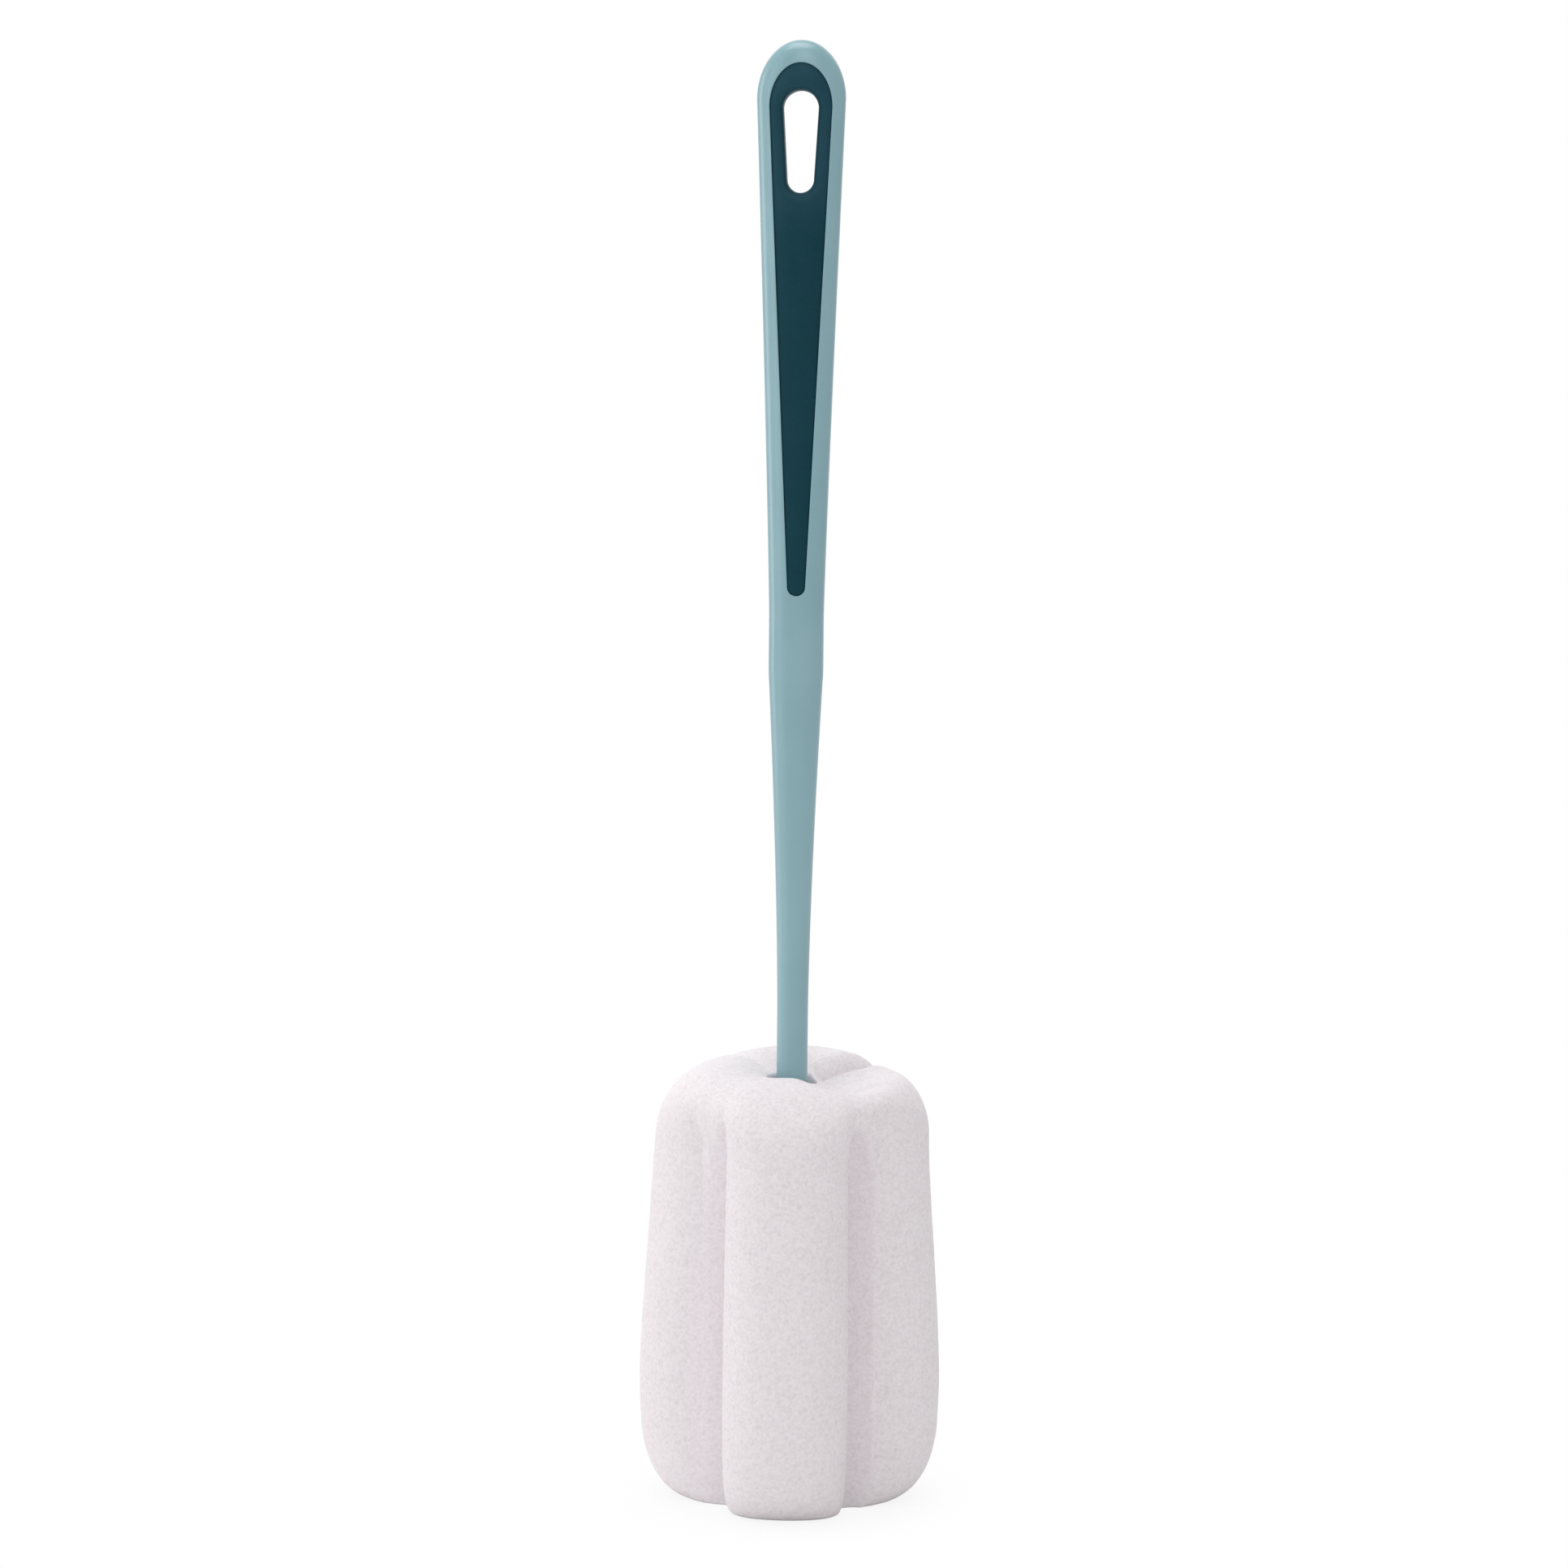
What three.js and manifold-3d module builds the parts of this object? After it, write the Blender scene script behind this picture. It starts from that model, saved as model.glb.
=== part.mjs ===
// Sponge-headed bottle brush: a two-shot paddle handle with a barbed stem, pushed into a
// four-lobed foam head. Millimetres, +Z up the handle, the front of the grip towards -Y.
import * as THREE from 'three';
import { mergeVertices } from 'three/addons/utils/BufferGeometryUtils.js';
import Module from 'manifold-3d';

// Whole brush
const BRUSH_HEIGHT = 290;
const PART_GAP = 0.3;

// Foam head, from its flat base to the dished mouth
const HEAD_HEIGHT = 88;
const HEAD_RADIUS = 30.3;
const HEAD_WIDEST_Z = 24;
const HEAD_TAPER = 2.8;
const SHOULDER_DROP = 14;
const CREST_RUN = 13.5;
const MOUTH_DEPTH = 3;
const MOUTH_LIP = 0.2;
const BASE_TUCK = 0.35;
const BASE_ROUND_RUN = 9.45;
const BASE_ROUND_Z = 14;
const HEAD_SHOULDER_RADIUS = HEAD_RADIUS - HEAD_TAPER;
const HEAD_SHOULDER_Z = HEAD_HEIGHT - SHOULDER_DROP;
const HEAD_CREST_RADIUS = HEAD_SHOULDER_RADIUS - CREST_RUN;
const BASE_ROUND_RADIUS = HEAD_RADIUS - BASE_TUCK;
const HEAD_BASE_RADIUS = BASE_ROUND_RADIUS - BASE_ROUND_RUN;
const MOUTH_Z = HEAD_HEIGHT - MOUTH_DEPTH;

// How fully the head's outline is rounded
const ROUND_FULLNESS = 0.56;
const SHOULDER_FULLNESS = 0.54;
const BASE_LEAN = 0.7;
const SIDE_LEAN = 0.2;
const SIDE_PULL = 4;
const TAPER_FOOT_PULL = 12;
const TAPER_TOP_PULL = 14;
const TAPER_LEAN = 0.5;
const SHOULDER_LEAN = 0.2;
const CREST_PULL = 4;
const MOUTH_PULL = 1.5;
const MOUTH_RISE = 1.2;

// Lobes of the head, the grooves between them, each ending in an arch, and the creases on top
const LOBE_COUNT = 4;
const LOBE_HALF_WIDTH = 12.4;
const GROOVE_FLOOR_RADIUS = 16.2;
const GROOVE_FULLNESS = 1.1;
const ARCH_DROP = 17;
const ARCH_RISE = 8.5;
const VALLEY_DROP = 14;
const VALLEY_RISE = 10;
const CREASE_DEPTH = 0.8;
const CREASE_HALF_WIDTH = 5;
const CREASE_RISE = 8;
const CREASE_FADE = 3;
const HALF_SECTOR = Math.PI / LOBE_COUNT;
const LIP_ANGLE = Math.atan2(LOBE_HALF_WIDTH, HEAD_RADIUS - LOBE_HALF_WIDTH);
const ARCH_FOOT_Z = HEAD_HEIGHT - ARCH_DROP;
const VALLEY_FOOT_Z = HEAD_HEIGHT - VALLEY_DROP;

// Barbed anchor, hung from the stem's foot inside the head
const STEM_SUNK = 5;
const STEM_FOOT_Z = MOUTH_Z - STEM_SUNK;
const FIN_DROP = 1;
const FIN_THICK = 1.8;
const BARB_COUNT = 5;
const BARB_PITCH = 10;
const BARB_ROOT_RADIUS = 3.7;
const BARB_HEIGHT = 0.9;
const BARB_EDGE = 0.7;
const BARB_UNDERCUT = 1;
const BARB_RADIUS = BARB_ROOT_RADIUS + BARB_HEIGHT;
const FIN_FOOT_Z = STEM_FOOT_Z - FIN_DROP - BARB_COUNT * BARB_PITCH;
const NOSE_LENGTH = 7;
const NOSE_BLUNTNESS = 1.6;
const SPINE_RADIUS = 2.3;
const SPINE_TAPER_LENGTH = 9;
const SPINE_OVERLAP = 4;
const SPINE_INSET = 0.3;
const ANCHOR_TIP_Z = FIN_FOOT_Z - NOSE_LENGTH;
const BORE_RADIUS = BARB_RADIUS + PART_GAP;
const BORE_FOOT_Z = ANCHOR_TIP_Z - PART_GAP;
const MOUTH_LIP_RADIUS = BORE_RADIUS + MOUTH_LIP;

// Stem, neck and grip, as half sizes, the grip measured down from the top
const STEM_RADIUS = 3.08;
const STEM_STRAIGHT = 12.7;
const NECK_HALF_WIDTH = 5.43;
const NECK_HALF_THICK = 4.15;
const NECK_LENGTH = 11.1;
const GRIP_HALF_WIDTH = 8.7;
const GRIP_HALF_THICK = 4.35;
const GRIP_LENGTH = 101;
const GRIP_END_LENGTH = 11.4;
const GRIP_FLARE = 1.15;
const NECK_FLARE = 1.55;
const STEM_SQUARENESS = 2;
const GRIP_SQUARENESS = 2.5;
const END_FULLNESS = 6;
const STEM_TOP_Z = MOUTH_Z + STEM_STRAIGHT;
const GRIP_WIDEST_Z = BRUSH_HEIGHT - GRIP_END_LENGTH;
const NECK_TOP_Z = GRIP_WIDEST_Z - GRIP_LENGTH;
const NECK_FOOT_Z = NECK_TOP_Z - NECK_LENGTH;

// Soft inlay, its outline set in from the grip's
const INLAY_TOP_MARGIN = 4.5;
const INLAY_SIDE_MARGIN = 2.6;
const INLAY_END_LENGTH = 8.5;
const INLAY_LENGTH = 103.8;
const INLAY_TIP_RADIUS = 1.75;
const INLAY_DEPTH = 1.7;
const INLAY_PROUD = 0.15;
const LINING_THICK = 1.3;
const INLAY_HALF_WIDTH = GRIP_HALF_WIDTH - INLAY_SIDE_MARGIN;
const INLAY_TOP_Z = BRUSH_HEIGHT - INLAY_TOP_MARGIN;
const INLAY_TIP_Z = INLAY_TOP_Z - INLAY_LENGTH;

// Hanging hole, its outline set in from the inlay's
const HOLE_TOP_MARGIN = 5.3;
const HOLE_SIDE_MARGIN = 2.65;
const HOLE_LENGTH = 19.8;
const HOLE_TAPER = 0.8;
const HOLE_TOP_Z = INLAY_TOP_Z - HOLE_TOP_MARGIN;
const HOLE_FOOT_Z = HOLE_TOP_Z - HOLE_LENGTH;
const HOLE_TOP_RADIUS = INLAY_HALF_WIDTH - HOLE_SIDE_MARGIN;
const HOLE_FOOT_RADIUS = HOLE_TOP_RADIUS - HOLE_TAPER;

// Facets
const SECTION_POINTS = 40;
const SECTION_PITCH = 8;
const END_SECTIONS = 12;
const OUTLINE_SEGMENTS = 24;
const ROUND_POINTS = 32;
const NOSE_SEGMENTS = 6;
const LOBE_NOSE_STEPS = 5;
const GROOVE_STEPS = 4;
const BASE_ROWS = 4;
const SIDE_ROWS = 1;
const TAPER_ROWS = 6;
const SHOULDER_ROWS = 8;
const DISH_ROWS = 3;

const wasm = await Module();
wasm.setup();

/** A closed three.js geometry as a solid. */
function toSolid(geometry) {
  const bare = geometry.clone();
  bare.deleteAttribute('normal');
  bare.deleteAttribute('uv');
  const welded = mergeVertices(bare, 1e-5);
  return new wasm.Manifold(new wasm.Mesh({
    numProp: 3,
    vertProperties: new Float32Array(welded.attributes.position.array),
    triVerts: new Uint32Array(welded.index.array),
  }));
}

/** A solid as a three.js geometry. */
function toGeometry(solid) {
  const mesh = solid.getMesh();
  const geometry = new THREE.BufferGeometry();
  geometry.setAttribute('position', new THREE.BufferAttribute(mesh.vertProperties, 3));
  geometry.setIndex(new THREE.BufferAttribute(mesh.triVerts, 1));
  geometry.computeVertexNormals();
  return geometry;
}

/** Rings of equal length joined in order, each end closed on its middle point. */
function loft(rings, footZ, headZ) {
  const count = rings[0].length;
  const points = rings.flat();
  const foot = points.push(new THREE.Vector3(0, 0, footZ)) - 1;
  const head = points.push(new THREE.Vector3(0, 0, headZ)) - 1;
  const last = (rings.length - 1) * count;
  const faces = [];
  for (let i = 0; i < count; i += 1) {
    const next = (i + 1) % count;
    faces.push(foot, next, i);
    faces.push(head, last + i, last + next);
    for (let row = 0; row < last; row += count) {
      faces.push(row + i, row + next, row + count + next);
      faces.push(row + i, row + count + next, row + count + i);
    }
  }
  const geometry = new THREE.BufferGeometry().setFromPoints(points);
  geometry.setIndex(faces);
  return geometry;
}

/** One superelliptic section of the handle, counter-clockwise from above. */
function ovalRing(halfWidth, halfThick, squareness, z) {
  const power = 2 / squareness;
  const ring = [];
  for (let i = 0; i < SECTION_POINTS; i += 1) {
    const angle = (2 * Math.PI * i) / SECTION_POINTS;
    const c = Math.cos(angle);
    const s = Math.sin(angle);
    ring.push(new THREE.Vector3(
      halfWidth * Math.sign(c) * Math.abs(c) ** power,
      halfThick * Math.sign(s) * Math.abs(s) ** power,
      z,
    ));
  }
  return ring;
}

/** Smooth share from 0 at a to 1 at b. */
function ease(value, a, b) {
  return THREE.MathUtils.smoothstep(value, Math.min(a, b), Math.max(a, b));
}

/** Half width of the handle below its round end: stem, neck, then the widening grip. */
function halfWidthAt(z) {
  if (z < NECK_FOOT_Z) {
    const rise = THREE.MathUtils.clamp((z - STEM_TOP_Z) / (NECK_FOOT_Z - STEM_TOP_Z), 0, 1);
    return THREE.MathUtils.lerp(STEM_RADIUS, NECK_HALF_WIDTH, rise ** NECK_FLARE);
  }
  const share = Math.max(z - NECK_TOP_Z, 0) / (GRIP_WIDEST_Z - NECK_TOP_Z);
  return THREE.MathUtils.lerp(NECK_HALF_WIDTH, GRIP_HALF_WIDTH, share ** GRIP_FLARE);
}

/** Half thickness of the handle below its round end. */
function halfThickAt(z) {
  const neck = THREE.MathUtils.lerp(STEM_RADIUS, NECK_HALF_THICK, ease(z, STEM_TOP_Z, NECK_TOP_Z));
  return THREE.MathUtils.lerp(neck, GRIP_HALF_THICK, ease(z, NECK_TOP_Z, GRIP_WIDEST_Z));
}

/** Squareness of the handle's section: round stem, flatter grip. */
function squarenessAt(z) {
  return THREE.MathUtils.lerp(STEM_SQUARENESS, GRIP_SQUARENESS, ease(z, STEM_TOP_Z, NECK_TOP_Z));
}

/** The paddle grip and stem as one loft; `extra` thickens it front and back. */
function gripLoft(extra, footZ) {
  const rings = [];
  const steps = Math.round((GRIP_WIDEST_Z - footZ) / SECTION_PITCH);
  for (let i = 0; i < steps; i += 1) {
    const z = THREE.MathUtils.lerp(footZ, GRIP_WIDEST_Z, i / steps);
    rings.push(ovalRing(halfWidthAt(z), halfThickAt(z) + extra, squarenessAt(z), z));
  }
  for (let i = 0; i < END_SECTIONS; i += 1) {
    const turn = (Math.PI / 2) * (i / END_SECTIONS);
    const thick = (GRIP_HALF_THICK + extra) * Math.sqrt(1 - Math.sin(turn) ** END_FULLNESS);
    const z = GRIP_WIDEST_Z + GRIP_END_LENGTH * Math.sin(turn);
    rings.push(ovalRing(GRIP_HALF_WIDTH * Math.cos(turn), thick, GRIP_SQUARENESS, z));
  }
  return toSolid(loft(rings, footZ, BRUSH_HEIGHT));
}

/** A round-ended tapered slot standing in the XZ plane. */
function taperedSlot(topZ, topRadius, topRise, footZ, footRadius) {
  const shape = new THREE.Shape();
  const topCentre = topZ - topRise;
  const footCentre = footZ + footRadius;
  shape.absellipse(0, topCentre, topRadius, topRise, 0, Math.PI, false, 0);
  shape.absellipse(0, footCentre, footRadius, footRadius, Math.PI, 2 * Math.PI, false, 0);
  shape.closePath();
  return shape;
}

/** A shape of the XZ plane cut right through the handle's thickness. */
function throughCut(shape) {
  const depth = 6 * GRIP_HALF_THICK;
  const options = { depth, bevelEnabled: false, curveSegments: OUTLINE_SEGMENTS };
  const geometry = new THREE.ExtrudeGeometry(shape, options);
  geometry.rotateX(Math.PI / 2);
  geometry.translate(0, depth / 2, 0);
  return toSolid(geometry);
}

/** The inlay's outline, grown by an even margin. */
function inlayCut(margin) {
  return throughCut(taperedSlot(
    INLAY_TOP_Z + margin,
    INLAY_HALF_WIDTH + margin,
    INLAY_END_LENGTH + margin,
    INLAY_TIP_Z - margin,
    INLAY_TIP_RADIUS + margin,
  ));
}

/** The hanging hole's outline, grown by an even margin. */
function holeCut(margin) {
  return throughCut(taperedSlot(
    HOLE_TOP_Z + margin,
    HOLE_TOP_RADIUS + margin,
    HOLE_TOP_RADIUS + margin,
    HOLE_FOOT_Z - margin,
    HOLE_FOOT_RADIUS + margin,
  ));
}

/** One barbed fin across the anchor, its barbs catching against a pull upwards. */
function barbedFin() {
  const shape = new THREE.Shape();
  const side = [];
  for (let i = 0; i < BARB_COUNT; i += 1) {
    const z = FIN_FOOT_Z + i * BARB_PITCH;
    side.push([BARB_ROOT_RADIUS, z]);
    side.push([BARB_RADIUS, z + BARB_PITCH - BARB_UNDERCUT - BARB_EDGE]);
    side.push([BARB_RADIUS, z + BARB_PITCH - BARB_UNDERCUT]);
    side.push([BARB_ROOT_RADIUS, z + BARB_PITCH]);
  }
  shape.moveTo(side[0][0], side[0][1]);
  side.slice(1).forEach(([r, z]) => shape.lineTo(r, z));
  side.reverse().forEach(([r, z]) => shape.lineTo(-r, z));
  shape.closePath();
  const geometry = new THREE.ExtrudeGeometry(shape, { depth: FIN_THICK, bevelEnabled: false });
  geometry.rotateX(Math.PI / 2);
  geometry.translate(0, FIN_THICK / 2, 0);
  return geometry;
}

/** The anchor: a pointed round spine carrying two crossed barbed fins. */
function anchorSolid() {
  const spine = new THREE.Path();
  spine.moveTo(0, ANCHOR_TIP_Z);
  spine.quadraticCurveTo(NOSE_BLUNTNESS, ANCHOR_TIP_Z, SPINE_RADIUS, ANCHOR_TIP_Z + SPINE_TAPER_LENGTH);
  spine.lineTo(STEM_RADIUS - SPINE_INSET, STEM_FOOT_Z + SPINE_OVERLAP);
  spine.lineTo(0, STEM_FOOT_Z + SPINE_OVERLAP);
  const lathe = new THREE.LatheGeometry(spine.getPoints(NOSE_SEGMENTS), ROUND_POINTS);
  lathe.rotateX(Math.PI / 2);
  const fin = barbedFin();
  const crossFin = fin.clone().rotateZ(Math.PI / 2);
  return toSolid(lathe).add(toSolid(fin)).add(toSolid(crossFin));
}

/** The hard moulding: grip, neck, stem and anchor with the pockets of the inlay. */
function handleGeometry() {
  const body = gripLoft(0, STEM_FOOT_Z);
  const web = gripLoft(-INLAY_DEPTH - PART_GAP, STEM_FOOT_Z);
  const pocket = inlayCut(PART_GAP).subtract(web);
  const eye = holeCut(LINING_THICK + PART_GAP);
  return toGeometry(body.subtract(pocket).subtract(eye).add(anchorSolid()));
}

/** The soft moulding: a pad on each face, joined through the lining of the hole. */
function inlayGeometry() {
  const skin = gripLoft(INLAY_PROUD, STEM_FOOT_Z);
  const web = gripLoft(-INLAY_DEPTH, STEM_FOOT_Z);
  const core = web.subtract(holeCut(LINING_THICK));
  return toGeometry(skin.intersect(inlayCut(0)).subtract(core).subtract(holeCut(0)));
}

/** Angles of the head's points off a lobe's middle: along its nose, then down the groove's wall. */
function lobeOffsets() {
  const half = [];
  for (let i = 0; i < LOBE_NOSE_STEPS; i += 1) {
    const turn = (Math.PI / 2) * (i / LOBE_NOSE_STEPS);
    const forwards = HEAD_RADIUS - LOBE_HALF_WIDTH * (1 - Math.cos(turn));
    half.push(Math.atan2(LOBE_HALF_WIDTH * Math.sin(turn), forwards));
  }
  for (let i = 0; i < GROOVE_STEPS; i += 1) {
    const across = Math.cos((Math.PI / 2) * (i / GROOVE_STEPS));
    half.push(HALF_SECTOR - (HALF_SECTOR - LIP_ANGLE) * across);
  }
  const before = half.slice(1).reverse().map((offset) => -offset);
  return [-HALF_SECTOR, ...before, ...half];
}

/** How far a lobe's round nose reaches at an angle off its middle. */
function noseReach(offset, limit) {
  const centre = limit - LOBE_HALF_WIDTH;
  const aside = Math.min(Math.abs(centre * Math.sin(offset)), LOBE_HALF_WIDTH);
  return centre * Math.cos(offset) + Math.sqrt(LOBE_HALF_WIDTH ** 2 - aside ** 2);
}

/** Radius of the lobed section where the lobes reach to `limit`. */
function lobedRadius(offset, z, limit) {
  const nose = noseReach(Math.min(offset, LIP_ANGLE), limit);
  const edge = noseReach(LIP_ANGLE, limit);
  const across = (HALF_SECTOR - offset) / (HALF_SECTOR - LIP_ANGLE);
  const above = Math.max(z - ARCH_FOOT_Z, 0) / ARCH_RISE;
  const inside = Math.max(1 - across ** 2 - above ** 2, 0);
  const groove = (edge - GROOVE_FLOOR_RADIUS) * inside ** GROOVE_FULLNESS;
  const wall = LOBE_HALF_WIDTH / Math.sin(Math.max(offset, LIP_ANGLE));
  const closing = ease(z, VALLEY_FOOT_Z, VALLEY_FOOT_Z + VALLEY_RISE);
  const valley = Math.max(edge - wall, 0) * (1 - closing);
  return nose - Math.max(groove, valley);
}

/** How deep the crease between two lobes is at a point of the head's top. */
function creaseDepth(radius, offset, z) {
  const beside = (radius * Math.sin(HALF_SECTOR - offset)) / CREASE_HALF_WIDTH;
  const near = THREE.MathUtils.clamp(1 - beside, 0, 1);
  const onTop = ease(z, HEAD_SHOULDER_Z, HEAD_SHOULDER_Z + CREASE_RISE)
    * ease(radius, MOUTH_LIP_RADIUS, MOUTH_LIP_RADIUS + CREASE_FADE);
  return CREASE_DEPTH * (1 - Math.sqrt(1 - near ** 2)) * onTop;
}

/** The head's outline in a vertical plane: base, side, shoulder, crest and mouth. */
function headOutline() {
  const shoulderRise = SHOULDER_FULLNESS * SHOULDER_DROP;
  const point = (r, z) => new THREE.Vector2(r, z);
  const base = point(HEAD_BASE_RADIUS, 0);
  const rounded = point(BASE_ROUND_RADIUS, BASE_ROUND_Z);
  const widest = point(HEAD_RADIUS, HEAD_WIDEST_Z);
  const shoulder = point(HEAD_SHOULDER_RADIUS, HEAD_SHOULDER_Z);
  const crest = point(HEAD_CREST_RADIUS, HEAD_HEIGHT);
  const mouth = point(MOUTH_LIP_RADIUS, MOUTH_Z);
  const curves = [
    [BASE_ROWS, base, point(HEAD_BASE_RADIUS + ROUND_FULLNESS * BASE_ROUND_RUN, 0),
      point(BASE_ROUND_RADIUS - BASE_LEAN, (1 - ROUND_FULLNESS) * BASE_ROUND_Z), rounded],
    [SIDE_ROWS, rounded, point(BASE_ROUND_RADIUS + SIDE_LEAN, BASE_ROUND_Z + SIDE_PULL),
      point(HEAD_RADIUS, HEAD_WIDEST_Z - SIDE_PULL), widest],
    [TAPER_ROWS, widest, point(HEAD_RADIUS, HEAD_WIDEST_Z + TAPER_FOOT_PULL),
      point(HEAD_SHOULDER_RADIUS + TAPER_LEAN, HEAD_SHOULDER_Z - TAPER_TOP_PULL), shoulder],
    [SHOULDER_ROWS, shoulder, point(HEAD_SHOULDER_RADIUS - SHOULDER_LEAN, HEAD_SHOULDER_Z + shoulderRise),
      point(HEAD_CREST_RADIUS + ROUND_FULLNESS * CREST_RUN, HEAD_HEIGHT), crest],
    [DISH_ROWS, crest, point(HEAD_CREST_RADIUS - CREST_PULL, HEAD_HEIGHT),
      point(MOUTH_LIP_RADIUS + MOUTH_PULL, MOUTH_Z + MOUTH_RISE), mouth],
  ];
  const outline = [base];
  curves.forEach(([steps, from, fromPull, toPull, to]) => {
    const curve = new THREE.CubicBezierCurve(from, fromPull, toPull, to);
    outline.push(...curve.getPoints(steps).slice(1));
  });
  return outline;
}

/** The foam head: four round-nosed lobes, rounded over into a dished mouth, with a blind round bore. */
function headGeometry() {
  const offsets = lobeOffsets();
  const rings = headOutline().map(({ x: reach, y: z }) => {
    const limit = Math.max(reach, HEAD_CREST_RADIUS);
    const lobed = ease(reach, MOUTH_LIP_RADIUS, HEAD_CREST_RADIUS);
    const ring = [];
    for (let lobe = 0; lobe < LOBE_COUNT; lobe += 1) {
      offsets.forEach((offset) => {
        const angle = 2 * HALF_SECTOR * lobe + offset;
        const aside = Math.abs(offset);
        const radius = reach * THREE.MathUtils.lerp(1, lobedRadius(aside, z, limit) / limit, lobed);
        ring.push(new THREE.Vector3(
          radius * Math.cos(angle),
          radius * Math.sin(angle),
          z - creaseDepth(radius, aside, z),
        ));
      });
    }
    return ring;
  });
  const foam = toSolid(loft(rings, 0, MOUTH_Z));
  const bore = new THREE.CylinderGeometry(BORE_RADIUS, BORE_RADIUS, HEAD_HEIGHT, ROUND_POINTS);
  bore.rotateX(Math.PI / 2);
  bore.translate(0, 0, BORE_FOOT_Z + HEAD_HEIGHT / 2);
  return toGeometry(foam.subtract(toSolid(bore)));
}

/** A named mesh with a material of its own. */
function piece(name, geometry, color, roughness) {
  const mesh = new THREE.Mesh(geometry, new THREE.MeshStandardMaterial({ color, roughness }));
  mesh.name = name;
  return mesh;
}

const brush = new THREE.Group();
brush.name = 'bottle_brush';
brush.add(piece('handle', handleGeometry(), 0x93b9bf, 0.5));
brush.add(piece('grip_inlay', inlayGeometry(), 0x24464f, 0.65));
brush.add(piece('sponge_head', headGeometry(), 0xe9e4e6, 0.95));

export default brush;
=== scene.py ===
"""Sponge-headed bottle brush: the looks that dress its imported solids.

Metres, +Z up the handle, the front of the grip towards -Y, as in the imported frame.
"""

import logging
import math
from collections.abc import Callable, Iterable, Sequence
from dataclasses import dataclass, field
from enum import Enum

import bmesh
import bpy
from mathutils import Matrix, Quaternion, Vector


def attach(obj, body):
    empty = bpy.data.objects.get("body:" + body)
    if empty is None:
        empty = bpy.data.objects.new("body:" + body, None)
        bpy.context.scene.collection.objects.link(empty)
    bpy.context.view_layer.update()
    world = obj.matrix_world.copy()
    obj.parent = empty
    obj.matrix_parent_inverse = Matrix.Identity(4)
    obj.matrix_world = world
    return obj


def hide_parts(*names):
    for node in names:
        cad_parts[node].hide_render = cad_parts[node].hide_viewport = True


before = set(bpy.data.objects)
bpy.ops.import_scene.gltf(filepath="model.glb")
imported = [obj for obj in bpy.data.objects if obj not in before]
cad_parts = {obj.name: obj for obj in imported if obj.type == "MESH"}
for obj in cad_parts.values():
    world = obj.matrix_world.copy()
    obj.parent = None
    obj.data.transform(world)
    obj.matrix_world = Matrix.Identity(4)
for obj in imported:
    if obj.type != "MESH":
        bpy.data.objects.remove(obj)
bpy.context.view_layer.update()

MM = 0.001
TINY = 1e-9
MERGE_GAP = 1e-6
SLIVER = 1e-7
ROW_GAP = 0.004 * MM
SHARP_DEGREES = 38.0
Colour = tuple[float, float, float]
Point = tuple[float, float]
Curve = tuple[Point, Point, Point, Point]
LOG = logging.getLogger("bottle_brush")


class Body(Enum):
    """The two bodies that come apart when the head is pulled off."""

    HEAD = "head"
    HANDLE = "handle"


class Finish(Enum):
    """Names of the three finishes."""

    PLASTIC = "handle_plastic"
    RUBBER = "inlay_rubber"
    FOAM = "head_foam"


def clamp(value: float, low: float = 0.0, high: float = 1.0) -> float:
    """The value, held between two limits."""
    return min(max(value, low), high)


def lerp(a: float, b: float, share: float) -> float:
    """The value a share of the way from a to b."""
    return a + (b - a) * share


def ease(value: float, a: float, b: float) -> float:
    """Smooth share from 0 at a to 1 at b."""
    share = clamp((value - a) / (b - a))
    return share * share * (3.0 - 2.0 * share)


def fall(radius: float, distance: float) -> float:
    """How far a quarter-round edge has dropped at a distance from its foot."""
    inner = clamp(radius - distance, 0.0, radius)
    return radius - math.sqrt(radius * radius - inner * inner)


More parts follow.
